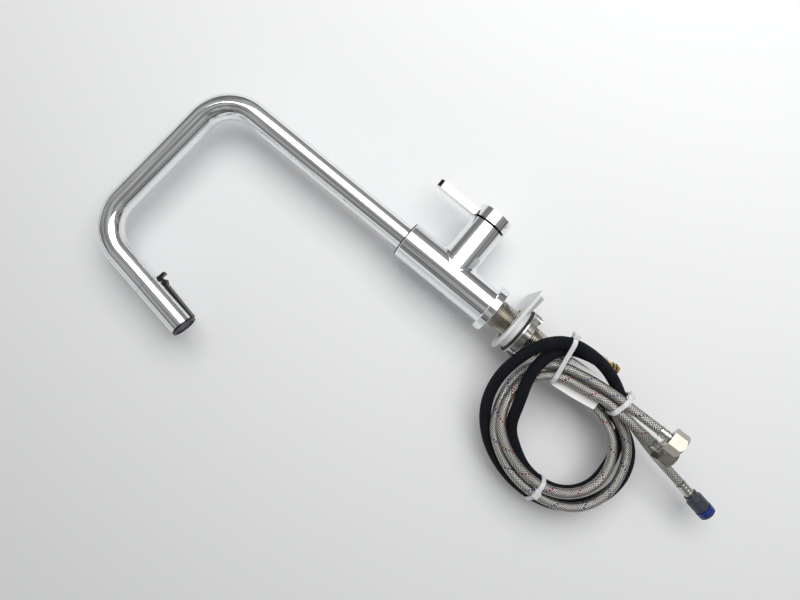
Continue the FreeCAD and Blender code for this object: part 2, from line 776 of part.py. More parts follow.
def plate_web():
    """The flat between the round part and the two rounded arm tips."""
    lean = math.radians(n(arm_spread)) + math.acos((n(plate_round_r) - n(arm_tip_r)) / n(arm_reach))
    tip = arm_tip(1)
    outer = V(math.cos(lean) * n(plate_round_r), math.sin(lean) * n(plate_round_r), tip.z)
    shoulder = tip + V(math.cos(lean), math.sin(lean), 0) * n(arm_tip_r)
    end = tip + V(n(arm_tip_r), 0, 0)
    upper = [outer, shoulder, end]
    lower = [V(point.x, -point.y, point.z) for point in reversed(upper)]
    outline = Part.makePolygon(upper + lower + [outer])
    return Part.Face(outline).extrude(V(0, 0, n(plate_thick)))


plate = disc(plate_round_r, plate_low, -clamp_gap).fuse(plate_web())
plate = plate.fuse(disc(collar_r, collar_low, plate_low))
for side in (-1, 1):
    tip = arm_tip(side)
    plate = plate.fuse(disc(arm_tip_r, plate_low, -clamp_gap, tip.x, tip.y))
    rib = Part.makeBox(n(arm_reach), 2 * n(rib_half), n(rib_height), V(0, -n(rib_half), -n(rib_height)))
    rib.rotate(V(0, 0, 0), Z_AXIS, side * n(arm_spread))
    rib.translate(V(0, 0, n(plate_low)))
    plate = plate.fuse(rib)
plate = plate.cut(disc(plate_hole_r, collar_low, -clamp_gap))
shape_part("support_plate", plate.removeSplitter())
gasket_low = collar_low - gasket_thick
turned("mounting_gasket", ring_points(gasket_hole_r, gasket_r, gasket_low, collar_low))
washer_low = gasket_low - washer_thick
turned("mounting_washer", ring_points(washer_hole_r, washer_r, washer_low, gasket_low))

nut_low = washer_low - nut_height
lobed = disc(nut_r, nut_low, washer_low)
for side in (-1, 1):
    lobed = lobed.fuse(disc(jack_lobe_r, nut_low, washer_low, jack_circle_r * side))
    lobed = lobed.fuse(disc(side_lobe_r, nut_low, washer_low, 0, side_lobe_out * side))
lobed = lobed.cut(disc(shank_r, nut_low, washer_low))
for side in (-1, 1):
    lobed = lobed.cut(disc(jack_r, nut_low, washer_low, jack_circle_r * side))
pocket = Part.makeBox(2 * n(pocket_half), 2 * n(pocket_reach), n(nut_height),
                      V(-n(pocket_half), -n(pocket_reach), n(nut_low)))
shape_part("mounting_nut", lobed.cut(pocket).removeSplitter())
jacks = []
for side in (-1, 1):
    thread = disc(jack_r, nut_low, washer_low, jack_circle_r * side)
    head = disc(jack_head_r, nut_low - jack_head_height, nut_low, jack_circle_r * side)
    jacks.append(thread.fuse(head).removeSplitter())
shape_part("jack_screws", Part.makeCompound(jacks))

# Hoses: chosen points for each route; the coil hangs below the shank
hidden_route = [(0, 0, n(socket_floor)), (0, 0, 40), (0, 6.4, -6), (0, 6.8, -n(inner_hose_end))]
spray_route = [
    (0, 6.8, -40), (0, 7, -60), (0.5, 9, -84), (0, 13, -113.5), (-0.5, 17, -142), (-2, 19, -168),
    (-10, 17.5, -189.5), (-25.5, 12, -204), (-49.5, 10, -211), (-76.5, 10, -207), (-102.5, 10, -190),
    (-117.5, 10, -164), (-122, 10, -130.5), (-115.5, 10, -98.5), (-100.5, 9, -72), (-78, 2, -52.5),
    (-48.5, -12, -43), (-17, -27, -46), (7, -31, -57), (21, -29, -74), (25.5, -25, -98),
    (25, -15, -122.5), (19, -4, -145), (9, 3, -162.5), (-7, 6, -175.5), (-27, 7, -185),
    (-47.5, 9, -191), (-73, 9, -190.5), (-93.5, 9, -177.5), (-104.5, 8, -155.5), (-104.5, 5, -127),
    (-94, 0.5, -104), (-80.5, -4.5, -85), (-56, -18, -74.5), (-32, -26.5, -64), (-9, -25.5, -64),
    (10, -19, -72.5), (22, -11, -88.5), (26.5, -7, -106.5)]
hot_route = [
    (-8, -1.7, -6), (-8, -1.5, -34), (-8, -1.6, -60), (-8, 0, -81.5), (-9, 2, -109),
    (-9.5, 0, -133.5), (-13.5, -4, -154), (-24, -6, -172.5), (-41.5, -4, -185.5), (-62.5, -4, -189.5),
    (-81.5, -4, -184), (-97, -4, -171), (-106, -4.5, -151.5), (-108, -5.5, -126), (-101, -9, -99),
    (-87, -10.5, -76.5), (-65.5, -10, -65.5), (-46, -10.5, -64), (-29.5, -12, -69.5),
    (-16.5, -14, -80), (-8.5, -15, -94), (-5.5, -16, -109.5), (-3, -18, -126), (-0.5, -21, -141.5),
    (-1.5, -24, -159.5), (-2.5, -23, -181), (-3, -21, -198)]
cold_route = [
    (0, -8.1, -6), (0, -8, -34), (0, -8.1, -60), (0.5, -5, -79.5), (0.5, -3, -107), (1, -3, -132.5),
    (-0.5, -4, -153), (-8, -7, -171), (-20.5, -4, -189.5), (-40, -1, -201), (-64, -1, -205),
    (-86.5, -1, -199.5), (-105.5, -1, -184.5), (-116.5, -1, -157.5), (-118, -1, -126),
    (-110, -1, -98.5), (-94, -2, -75), (-71.5, -1, -63.5), (-48.5, -2, -57.5), (-27, -7.5, -59.5),
    (-11, -13.5, -69.5), (-0.5, -16.5, -84.5), (4, -17, -103.5), (7.5, -18, -121.5), (9, -21, -139),
    (8.5, -27, -157.5), (8.5, -32.5, -175), (8.5, -37, -190)]
outlet_route = [
    (8, -1.7, -6), (8, -1.5, -34), (8, -1.6, -60), (9, 0, -79.5), (11.5, -3, -106), (9, -10, -133.5),
    (2.5, -14, -161.5), (-3.5, -9.5, -187), (-8.5, 0, -214), (-11.5, 4, -236), (-14.5, 5, -256.5)]


def hose(label, route, radius):
    bar, radii, length = swept(route, radius)
    print("%s: %.0f mm long, smallest bend %.0f mm" % (label, length, min(radii)))
    print("  bends", " ".join("%.0f" % bend for bend in radii))
    shape_part(label, bar)


hose("hose_in_body", hidden_route, spray_hose_r)
hose("spray_hose", spray_route, spray_hose_r)
hose("hot_hose", hot_route, braid_hose_r)
hose("cold_hose", cold_route, braid_hose_r)
hose("outlet_hose", outlet_route, braid_hose_r)
cavity_top = shank_top + cavity_deep
braids = (hot_route, cold_route, outlet_route)
shape_part("hose_tails", Part.makeCompound(
    [Part.makeCylinder(n(tail_r), n(cavity_top) - route[0][2], V(*route[0])) for route in braids]))


def end_frame(route):
    """The frame at a hose's far end, its Z running on along the hose."""
    last, before = V(*route[-1]), V(*route[-2])
    return FreeCAD.Placement(last, FreeCAD.Rotation(Z_AXIS, last - before))


def at_end(label, points, route):
    body = turned(label, points)
    body.Placement = end_frame(route)


def placed(shape, route):
    shape.Placement = end_frame(route)
    return shape


zero = Size("0", 0)
shape_part("hose_ferrules", Part.makeCompound(
    [placed(disc(ferrule_r, 0, ferrule_length), route) for route in braids]))

# End of the spray hose: ferrule, stem with two grooves, and an O-ring in each
at_end("spray_ferrule", ring_points(zero, spray_ferrule_r, zero, spray_ferrule_length), spray_route)
stem_end = spray_ferrule_length + connector_stem_length
groove_bed = connector_stem_r - ring_section
groove_wide = ring_section * 2 + slip * 2
stem_outline = [(zero, spray_ferrule_length), (stem_flange_r, spray_ferrule_length),
                (stem_flange_r, spray_ferrule_length + 2.5), (connector_stem_r, spray_ferrule_length + 2.5)]
groove_floors = (stem_end - 8.5, stem_end - 4.5)
for floor in groove_floors:
    stem_outline += [(connector_stem_r, floor), (groove_bed, floor),
                     (groove_bed, floor + groove_wide), (connector_stem_r, floor + groove_wide)]
stem_outline += [(connector_stem_r, stem_end), (zero, stem_end)]
at_end("spray_stem", stem_outline, spray_route)
shape_part("stem_o_rings", Part.makeCompound(
    [placed(Part.makeTorus(n(groove_bed + ring_section), n(ring_section),
                           V(0, 0, n(floor + ring_section + slip))), spray_route)
     for floor in groove_floors]))

# Union nuts on the hot and cold hoses: tailpiece flange, rubber washer, six-sided nut
tail_top = ferrule_length + tail_flange_thick
union_low = ferrule_length - ease - union_back
union_top = union_low + union_length
thread_low = tail_top + union_washer_thick + ease
washers = []
for side, route in (("hot", hot_route), ("cold", cold_route)):
    at_end(side + "_tailpiece", ring_points(tailpiece_bore_r, tailpiece_flange_r, ferrule_length, tail_top),
           route)
    washers.append(placed(tube_solid(tailpiece_bore_r, tailpiece_flange_r, tail_top,
                                     tail_top + union_washer_thick), route))
    across_corners = n(union_flats) / math.cos(math.pi / 6)
    hexagon = Part.makePolygon([V(across_corners * math.cos(math.pi * k / 3),
                                  across_corners * math.sin(math.pi * k / 3), n(union_low))
                                for k in range(7)])
    blank = Part.Face(hexagon).extrude(V(0, 0, n(union_length)))
    chamfer = Part.makeCone(across_corners + 1, n(union_flats) + 0.2, 3.2,
                            V(0, 0, n(union_top) - 3.2))
    blank = blank.common(chamfer.fuse(disc(across_corners + 1, union_low, union_top - 3.2)))
    blank = blank.cut(disc(ferrule_r + slip, union_low, union_top))
    blank = blank.cut(disc(union_relief_r, union_low + union_back, thread_low))
    blank = blank.cut(disc(union_bore_r, thread_low, union_top))
    shape_part(side + "_union_nut", blank.removeSplitter(), end_frame(route))
shape_part("union_washers", Part.makeCompound(washers))

# Quick connector on the outlet hose: body with its socket, and the release collar
connector_end = ferrule_length + connector_length
socket_bed = connector_end - connector_socket
track_top = connector_end - 2.5
track_low = track_top - collar_band_length - collar_travel - slip * 2
track_r = collar_band_r - 1.2
at_end("connector_body", [
    (zero, ferrule_length), (connector_neck_r, ferrule_length), (connector_neck_r, ferrule_length + 4),
    (connector_r, ferrule_length + 6), (connector_r, track_low), (track_r, track_low), (track_r, track_top),
    (connector_r, track_top), (connector_r, connector_end), (connector_socket_r, connector_end),
    (connector_socket_r, socket_bed), (zero, socket_bed)], outlet_route)
at_end("release_collar", ring_points(track_r + slip, collar_band_r, track_top - slip - collar_band_length,
                                     track_top - slip), outlet_route)


# Cable ties round the coil

def strap_ring(reaches, grow):
    """A closed outline round the hoses from its reach on sixteen even bearings."""
    spread = 2 * math.pi / len(reaches)
    points = []
    for k, reach in enumerate(reaches):
        reach += grow
        following = reaches[(k + 1) % len(reaches)] + grow
        slide = (following - reach * math.cos(spread)) / math.sin(spread)
        turned_by = k * spread
        points.append(V(reach * math.cos(turned_by) - slide * math.sin(turned_by),
                        reach * math.sin(turned_by) + slide * math.cos(turned_by), -n(tie_width) / 2))
    outline = Part.makePolygon(points + [points[0]])
    return Part.Face(outline).extrude(V(0, 0, n(tie_width)))


def tie(label, centre, normal, reaches, head_side):
    """A flat strap drawn tight round the hoses, with its square head on one bearing."""
    along = V(*normal).normalize()
    depth = Y_AXIS - along * along.y
    depth.normalize()
    frame = FreeCAD.Placement(V(*centre), FreeCAD.Rotation(depth.cross(along), depth, along, "XYZ"))
    strap = strap_ring(reaches, n(tie_thick)).cut(strap_ring(reaches, 0))
    spread = 2 * math.pi / len(reaches)
    slide = (reaches[head_side + 1] - reaches[head_side - 1]) / 2 / math.sin(spread)
    head = Part.makeBox(n(tie_head_high), n(tie_head), n(tie_head) - 1,
                        V(reaches[head_side] + n(tie_thick) / 2, slide - n(tie_head) / 2,
                          (1 - n(tie_head)) / 2))
    head.rotate(V(0, 0, 0), Z_AXIS, math.degrees(head_side * spread))
    shape_part(label, strap.fuse(head).removeSplitter(), frame)


tie("tie_top", (4, -10, -79), (0.30, 0.12, -0.95),
    (24.5, 21.6, 22.1, 24.8, 24.8, 22.5, 17.8, 14.5, 22.9, 28.8, 31.2, 29.8, 24.9, 17.2, 21.4, 24.3), 9)
tie("tie_middle", (4, -11, -153), (-0.16, -0.08, -0.98),
    (10.4, 12.5, 13.4, 15.2, 18.9, 20.8, 20.7, 19.5, 16.8, 15.2, 19.1, 20.8, 20.0, 17.7, 16.9, 14.4), 9)
tie("tie_bottom", (-111.5, 3, -146), (-0.07, -0.02, 1.0),
    (13.3, 14.2, 14.0, 12.7, 13.2, 15.9, 17.1, 16.7, 14.6, 11.5, 11.6, 10.7, 12.7, 14.1, 14.2, 12.9), 11)

# Blank tag, bent once, between the first and the second turn of the hoses
tag_rows = [((-13.9, -9.5, -88.5), (11.5, -9.5, -89.5)), ((-10, -10.9, -112), (14.5, -10.9, -112)),
            ((-5, -14.6, -136), (13.5, -15.4, -136))]
sheets = []
for upper, lower in zip(tag_rows, tag_rows[1:]):
    edges = [Part.makeLine(V(*row[0]), V(*row[1])) for row in (upper, lower)]
    leaf = Part.makeRuledSurface(edges[0], edges[1]).extrude(V(0, n(tag_thick), 0))
    leaf.translate(V(0, -n(tag_thick) / 2, 0))
    sheets.append(leaf)
shape_part("hose_tag", sheets[0].fuse(sheets[1]))

doc.recompute()

# Every piece is checked, then written out in its place
for item in doc.Objects:
    if "Invalid" in item.State or "Error" in item.State:
        raise ValueError("%s: %s" % (item.Name, item.State))
for item in doc.Objects:
    if item.TypeId in ("PartDesign::Pocket", "PartDesign::Groove"):
        before = item.BaseFeature.Shape.Volume
        if item.Shape.Volume >= before - 1e-6:
            raise ValueError("%s removes nothing" % item.Name)
os.makedirs("parts", exist_ok=True)
for part in parts:
    shape = part.Shape
    if shape.isNull() or not shape.isValid() or shape.Volume <= 0:
        raise ValueError("%s has no sound shape" % part.Label)
    print("%-20s solids %d volume %9.1f" % (part.Label, len(shape.Solids), shape.Volume))
    shape.exportStep("parts/%s.step" % part.Label)
print(len(parts), "pieces")
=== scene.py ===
# %% [markdown]
# # A pull-out kitchen faucet, dressed for its picture
# The solids of the faucet come packed from the CAD program as a fixed frame. This script gives
# them their finishes, and makes by hand the pieces that a solid can't show well: the woven
# hoses, the fine thread of the shank, the lever, the crimped ferrules and the tag. Everything
# is in metres, in the frame of the solids, so each piece goes exactly where the solid says.

# %% Load the frame
import math
import bmesh
import bpy
from mathutils import Matrix, Vector


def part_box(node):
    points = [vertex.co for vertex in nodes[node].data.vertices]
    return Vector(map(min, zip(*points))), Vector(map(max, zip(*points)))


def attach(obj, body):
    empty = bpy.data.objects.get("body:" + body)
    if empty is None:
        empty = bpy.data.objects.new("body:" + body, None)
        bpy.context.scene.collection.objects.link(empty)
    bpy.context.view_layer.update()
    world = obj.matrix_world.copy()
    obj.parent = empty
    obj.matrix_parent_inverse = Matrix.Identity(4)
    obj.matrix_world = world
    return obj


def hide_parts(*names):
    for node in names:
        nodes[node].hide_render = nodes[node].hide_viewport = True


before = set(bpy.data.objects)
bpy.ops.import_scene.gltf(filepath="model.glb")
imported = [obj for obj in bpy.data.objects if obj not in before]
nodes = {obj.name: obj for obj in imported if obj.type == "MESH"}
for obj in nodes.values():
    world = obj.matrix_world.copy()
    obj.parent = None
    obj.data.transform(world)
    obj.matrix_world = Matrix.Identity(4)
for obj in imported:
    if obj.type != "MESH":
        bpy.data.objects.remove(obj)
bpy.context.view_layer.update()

print("solids loaded:", len(nodes))

# %% [markdown]
# ## The camera
# The faucet was photographed lying on a white table, from straight above, turned so that it
# runs from the upper left to the lower right. Here it stays upright, as it is used, so the
# camera looks at it from the front and is rolled about its own line of sight instead. A
# camera's matrix holds its right, up and back directions as columns, which is the plainest
# way to give a measured view exactly.

# %% Camera
camera_data = bpy.data.cameras.new("view")
camera_data.lens = 27
camera_data.sensor_width = 36
camera = bpy.data.objects.new("view", camera_data)
bpy.context.scene.collection.objects.link(camera)
right = Vector((0.63814, 0.01327, -0.76980))
up = Vector((0.76935, -0.04945, 0.63691))
back = Vector((-0.02962, -0.99869, -0.04177))
place = Vector((-0.0708, -0.6156, 0.0556))
rows = [(right[i], up[i], back[i], place[i]) for i in range(3)]
camera.matrix_world = Matrix(rows + [(0, 0, 0, 1)])
bpy.context.scene.camera = camera
bpy.context.scene.view_settings.view_transform = "Standard"
print("camera distance from the riser:", round(-place.y, 3), "m")

# %% [markdown]
# ## The four hoses under the sink
# A hose is one smooth line with a fixed length. A NURBS curve suits it: a few listed points
# pull the line along, and it never kinks. The points follow the photograph, where the hoses
# leave the shank, make one round coil tied in three places, and fan out to their ends.

# %% Routes of the hoses, in millimetres
spray_route = [
    (0, 6.8, -40), (0, 7, -60), (0.5, 9, -84), (0, 13, -113.5), (-0.5, 17, -142), (-2, 19, -168),
    (-10, 17.5, -189.5), (-25.5, 12, -204), (-49.5, 10, -211), (-76.5, 10, -207),
    (-102.5, 10, -190), (-117.5, 10, -164), (-122, 10, -130.5), (-115.5, 10, -98.5),
    (-100.5, 9, -72), (-78, 2, -52.5), (-48.5, -12, -43), (-17, -27, -46), (7, -31, -57),
    (21, -29, -74), (25.5, -25, -98), (25, -15, -122.5), (19, -4, -145), (9, 3, -162.5),
    (-7, 6, -175.5), (-27, 7, -185), (-47.5, 9, -191), (-73, 9, -190.5), (-93.5, 9, -177.5),
    (-104.5, 8, -155.5), (-104.5, 5, -127), (-94, 0.5, -104), (-80.5, -4.5, -85),
    (-56, -18, -74.5), (-32, -26.5, -64), (-9, -25.5, -64), (10, -19, -72.5), (22, -11, -88.5),
    (26.5, -7, -106.5)]
hot_route = [
    (-8, -1.7, -6), (-8, -1.5, -34), (-8, -1.6, -60), (-8, 0, -81.5), (-9, 2, -109),
    (-9.5, 0, -133.5), (-13.5, -4, -154), (-24, -6, -172.5), (-41.5, -4, -185.5),
    (-62.5, -4, -189.5), (-81.5, -4, -184), (-97, -4, -171), (-106, -4.5, -151.5),
    (-108, -5.5, -126), (-101, -9, -99), (-87, -10.5, -76.5), (-65.5, -10, -65.5),
    (-46, -10.5, -64), (-29.5, -12, -69.5), (-16.5, -14, -80), (-8.5, -15, -94),
    (-5.5, -16, -109.5), (-3, -18, -126), (-0.5, -21, -141.5), (-1.5, -24, -159.5),
    (-2.5, -23, -181), (-3, -21, -198)]
cold_route = [
    (0, -8.1, -6), (0, -8, -34), (0, -8.1, -60), (0.5, -5, -79.5), (0.5, -3, -107),
    (1, -3, -132.5), (-0.5, -4, -153), (-8, -7, -171), (-20.5, -4, -189.5), (-40, -1, -201),
    (-64, -1, -205), (-86.5, -1, -199.5), (-105.5, -1, -184.5), (-116.5, -1, -157.5),
    (-118, -1, -126), (-110, -1, -98.5), (-94, -2, -75), (-71.5, -1, -63.5),
    (-48.5, -2, -57.5), (-27, -7.5, -59.5), (-11, -13.5, -69.5), (-0.5, -16.5, -84.5),
    (4, -17, -103.5), (7.5, -18, -121.5), (9, -21, -139), (8.5, -27, -157.5),
    (8.5, -32.5, -175), (8.5, -37, -190)]
outlet_route = [
    (8, -1.7, -6), (8, -1.5, -34), (8, -1.6, -60), (9, 0, -79.5), (11.5, -3, -106),
    (9, -10, -133.5), (2.5, -14, -161.5), (-3.5, -9.5, -187), (-8.5, 0, -214),
    (-11.5, 4, -236), (-14.5, 5, -256.5)]
print("control points:", [len(r) for r in (spray_route, hot_route, cold_route, outlet_route)])

# %% [markdown]
# ## From a line to a woven sleeve
# Blender can thicken a curve by itself, but a woven sleeve needs a pattern that runs along the
# hose and closes round it. So the curve only gives its smooth line, and a tube is built on it,
# ring after ring. Each ring is carried on from the last without twisting. Its UV map says how
# far round (0 to 1) and how far along (in metres) each corner lies, and the weave is drawn on
# that.

# %% Helpers for the hoses
def smooth_line(name, route):
    """The points of the smooth curve that the route's control points pull along."""
    data = bpy.data.curves.new(name, "CURVE")
    data.dimensions = "3D"
    data.resolution_u = 12
    spline = data.splines.new("NURBS")
    spline.points.add(len(route) - 1)
    for point, (x, y, z) in zip(spline.points, route):
        point.co = (x / 1000, y / 1000, z / 1000, 1)
    spline.use_endpoint_u = True
    spline.order_u = 3
    curve = bpy.data.objects.new(name, data)
    bpy.context.scene.collection.objects.link(curve)
    bpy.context.view_layer.update()
    line_mesh = bpy.data.meshes.new_from_object(curve)
    line = [v.co.copy() for v in line_mesh.vertices]
    bpy.data.objects.remove(curve)
    bpy.data.meshes.remove(line_mesh)
    return line


def sleeve(name, line, radius, around):
    """A tube round the line, closed at both ends, with a UV map of turns and metres."""
    mesh = bmesh.new()
    uv = mesh.loops.layers.uv.new("weave")
    ahead = (line[1] - line[0]).normalized()
    side = ahead.orthogonal().normalized()
    rings, run = [], [0.0]
    for i, centre in enumerate(line):
        following = (line[min(i + 1, len(line) - 1)] - line[max(i - 1, 0)]).normalized()
        side = (ahead.rotation_difference(following) @ side).normalized()
        ahead = following
        across = ahead.cross(side)
        rings.append([mesh.verts.new(centre + radius * (math.cos(a) * side + math.sin(a) * across))
                      for a in [2 * math.pi * k / around for k in range(around)]])
        if i:
            run.append(run[-1] + (centre - line[i - 1]).length)
    for i in range(len(rings) - 1):
        for k in range(around):
            m = (k + 1) % around
            face = mesh.faces.new((rings[i][k], rings[i][m], rings[i + 1][m], rings[i + 1][k]))
            face.smooth = True
            corners = ((k, i), (k + 1, i), (k + 1, i + 1), (k, i + 1))
            for loop, (turn, row) in zip(face.loops, corners):
                loop[uv].uv = (turn / around, run[row])
    mesh.faces.new(rings[0][::-1])
    mesh.faces.new(rings[-1])
    data = bpy.data.meshes.new(name)
    mesh.to_mesh(data)
    mesh.free()
    piece = bpy.data.objects.new(name, data)
    bpy.context.scene.collection.objects.link(piece)
    return piece, run[-1]


def hose(name, route, radius, around, node):
    """A hose of that route, built on its smooth line and hung on the base in place of its solid.
    """
    line = smooth_line(name + "_line", route)
    piece, measured = sleeve(name, line, radius, around)
    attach(piece, "base")
    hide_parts(node)
    print(name, "length", round(measured, 3), "m, faces", len(piece.data.polygons))
    return piece


# %% [markdown]
# ### The spray hose
# The spray head's hose runs down inside the spout and the shank and comes out below in a black
# textile sleeve. It goes twice round the coil and ends in a metal stem with two rubber rings,
# which clicks into the connector of the mixed-water hose.

# %% Spray hose
spray_hose = hose("spray_hose_sleeve", spray_route, 0.0060, 40, "spray_hose")

# %% [markdown]
# ### The hot, cold and mixed-water hoses
# Three rubber hoses in woven steel wire. A red thread marks the hot one and a blue thread the
# cold one. They are a little slimmer and stiffer than the spray hose.

# %% Steel-braided hoses
hot_hose = hose("hot_hose_braid", hot_route, 0.00475, 32, "hot_hose")
cold_hose = hose("cold_hose_braid", cold_route, 0.00475, 32, "cold_hose")
outlet_hose = hose("outlet_hose_braid", outlet_route, 0.00475, 32, "outlet_hose")

# %% [markdown]
# ## Effects that several finishes share
# Smudges, worn edges and weaves come back on many pieces. Each is built once as a node group
# with named inputs, and every material places it with its own values. A group puts out only
# masks, heights and values, and the shader itself stays in the material.

# %% Helpers for node groups
def new_group(name, inputs, outputs):
    """An empty node group with named inputs and outputs, and its two end nodes."""
    group = bpy.data.node_groups.new(name, "ShaderNodeTree")
    for label, kind, value in inputs:
        socket = group.interface.new_socket(label, in_out="INPUT", socket_type=kind)
        if value is not None:
            socket.default_value = value
    for label in outputs:
        group.interface.new_socket(label, in_out="OUTPUT", socket_type="NodeSocketFloat")
    return group, group.nodes.new("NodeGroupInput"), group.nodes.new("NodeGroupOutput")


def calc(tree, operation, *values):
    """One Math node. A value is a number or the socket that brings it."""
    node = tree.nodes.new("ShaderNodeMath")
    node.operation = operation
    for socket, value in zip(node.inputs, values):
        if isinstance(value, (int, float)):
            socket.default_value = value
        else:
            tree.links.new(value, socket)
    return node.outputs[0]


def noise(tree, vector, scale, detail=3.0, roughness=0.5):
    """One noise texture. Its scale is a number or a socket."""
    node = tree.nodes.new("ShaderNodeTexNoise")
    node.inputs["Detail"].default_value = detail
    node.inputs["Roughness"].default_value = roughness
    tree.links.new(vector, node.inputs["Vector"])
    if isinstance(scale, (int, float)):
        node.inputs["Scale"].default_value = scale
    else:
        tree.links.new(scale, node.inputs["Scale"])
    return node.outputs["Fac"]


def spread(tree, value, low, high, out_low, out_high):
    """Maps low..high to out_low..out_high, smoothly."""
    node = tree.nodes.new("ShaderNodeMapRange")
    node.interpolation_type = "SMOOTHSTEP"
    tree.links.new(value, node.inputs["Value"])
    for label, number in (("From Min", low), ("From Max", high), ("To Min", out_low),
                          ("To Max", out_high)):
        if isinstance(number, (int, float)):
            node.inputs[label].default_value = number
        else:
            tree.links.new(number, node.inputs[label])
    return node.outputs["Result"]


# %% [markdown]
# ### Handled surface
# Nothing that was unpacked by hand is evenly glossy. Broad noise moves the roughness between
# two values, as finger marks do, and fine noise gives a slight grain to the relief.

# %% Group: handled surface
handled, taken, given = new_group(
    "handled_surface",
    [("Vector", "NodeSocketVector", None), ("Smudge Scale", "NodeSocketFloat", 30.0),
     ("Smooth", "NodeSocketFloat", 0.1), ("Rough", "NodeSocketFloat", 0.3),
     ("Grain Scale", "NodeSocketFloat", 2000.0)],
    ["Roughness", "Height", "Tint"])
smudge = noise(handled, taken.outputs["Vector"], taken.outputs["Smudge Scale"], 4.0, 0.6)
grain = noise(handled, taken.outputs["Vector"], taken.outputs["Grain Scale"], 2.0)
handled.links.new(spread(handled, smudge, 0.35, 0.68, taken.outputs["Smooth"],
                         taken.outputs["Rough"]), given.inputs["Roughness"])
handled.links.new(grain, given.inputs["Height"])
handled.links.new(smudge, given.inputs["Tint"])
print("group", handled.name, "nodes", len(handled.nodes))

# %% [markdown]
# ### Rubbed edges
# Edges lose their finish first; on the plastics the lighter edge is also a painted sheen. The
# Bevel node rounds the normal near an edge, so where it differs from the true normal there is
# an edge. Noise breaks the line up.

# %% Group: rubbed edges
rubbed, taken, given = new_group(
    "rubbed_edges",
    [("Vector", "NodeSocketVector", None), ("Radius", "NodeSocketFloat", 0.0006),
     ("Wear", "NodeSocketFloat", 1.0)], ["Mask"])
bevel = rubbed.nodes.new("ShaderNodeBevel")
bevel.samples = 4
rubbed.links.new(taken.outputs["Radius"], bevel.inputs["Radius"])
true_normal = rubbed.nodes.new("ShaderNodeNewGeometry").outputs["Normal"]
alike = rubbed.nodes.new("ShaderNodeVectorMath")
alike.operation = "DOT_PRODUCT"
rubbed.links.new(bevel.outputs["Normal"], alike.inputs[0])
rubbed.links.new(true_normal, alike.inputs[1])
edge = spread(rubbed, alike.outputs["Value"], 0.998, 0.90, 0.0, 1.0)
breaks = spread(rubbed, noise(rubbed, taken.outputs["Vector"], 900.0, 4.0), 0.38, 0.6, 0.0, 1.0)
rubbed.links.new(calc(rubbed, "MULTIPLY", calc(rubbed, "MULTIPLY", edge, breaks),
                      taken.outputs["Wear"]), given.inputs["Mask"])
print("group", rubbed.name, "nodes", len(rubbed.nodes))

# %% [markdown]
# ### Weave
# A braided sleeve has strands that climb to the right and strands that climb to the left, and
# each dives under the next. Counting strands along both diagonals of the UV map gives a
# chequer: on even fields one family is on top, on odd fields the other. Inside a field the
# strand is high in its middle, low at its ends, and split into wires. One strand in the count
# may be a coloured tracer.

# %% Group: weave
weave, taken, given = new_group(
    "woven_sleeve",
    [("UV", "NodeSocketVector", None), ("Strands", "NodeSocketFloat", 12.0),
     ("Turns per Metre", "NodeSocketFloat", 36.0), ("Wires", "NodeSocketFloat", 4.0)],
    ["Height", "Gap and Shade", "Tracer"])
parts = weave.nodes.new("ShaderNodeSeparateXYZ")
weave.links.new(taken.outputs["UV"], parts.inputs["Vector"])
climb = calc(weave, "MULTIPLY", parts.outputs["Y"], taken.outputs["Turns per Metre"])
right_count = calc(weave, "MULTIPLY", calc(weave, "ADD", parts.outputs["X"], climb),
                   taken.outputs["Strands"])
left_count = calc(weave, "ADD", calc(weave, "MULTIPLY",
                                     calc(weave, "SUBTRACT", parts.outputs["X"], climb),
                                     taken.outputs["Strands"]), 2000.0)
right_part = calc(weave, "FRACT", right_count)
left_part = calc(weave, "FRACT", left_count)
fields = calc(weave, "ADD", calc(weave, "FLOOR", right_count), calc(weave, "FLOOR", left_count))
right_on_top = calc(weave, "LESS_THAN", calc(weave, "MODULO", fields, 2.0), 0.5)
left_on_top = calc(weave, "SUBTRACT", 1.0, right_on_top)
across = calc(weave, "ADD", calc(weave, "MULTIPLY", right_part, right_on_top),
              calc(weave, "MULTIPLY", left_part, left_on_top))
along = calc(weave, "ADD", calc(weave, "MULTIPLY", left_part, right_on_top),
             calc(weave, "MULTIPLY", right_part, left_on_top))
crown = calc(weave, "SINE", calc(weave, "MULTIPLY", along, math.pi))
bulge = calc(weave, "POWER", calc(weave, "SINE", calc(weave, "MULTIPLY", across, math.pi)), 0.5)
wire = calc(weave, "ABSOLUTE", calc(weave, "SINE", calc(
    weave, "MULTIPLY", calc(weave, "MULTIPLY", across, taken.outputs["Wires"]), math.pi)))
relief = calc(weave, "MULTIPLY", calc(weave, "MULTIPLY", crown, bulge),
              calc(weave, "ADD", calc(weave, "MULTIPLY", wire, 0.35), 0.65))
weave.links.new(relief, given.inputs["Height"])
# Gap and Shade: dark where the relief is low. This is painted shade where the strands dive under
# each other, and partly the dark core seen between strands.
weave.links.new(spread(weave, relief, 0.62, 0.22, 0.0, 1.0), given.inputs["Gap and Shade"])
first = calc(weave, "LESS_THAN", calc(weave, "MODULO", calc(weave, "FLOOR", right_count),
                                      taken.outputs["Strands"]), 0.5)
weave.links.new(calc(weave, "MULTIPLY", calc(weave, "MULTIPLY", first, right_on_top),
                     spread(weave, relief, 0.1, 0.35, 0.0, 1.0)), given.inputs["Tracer"])
print("group", weave.name, "nodes", len(weave.nodes))

# %% [markdown]
# ## Finishes
# Every finish starts from the same bench: a Principled shader, object coordinates, the handled
# surface for its roughness and grain, and a Bump node. What differs is then added by name.

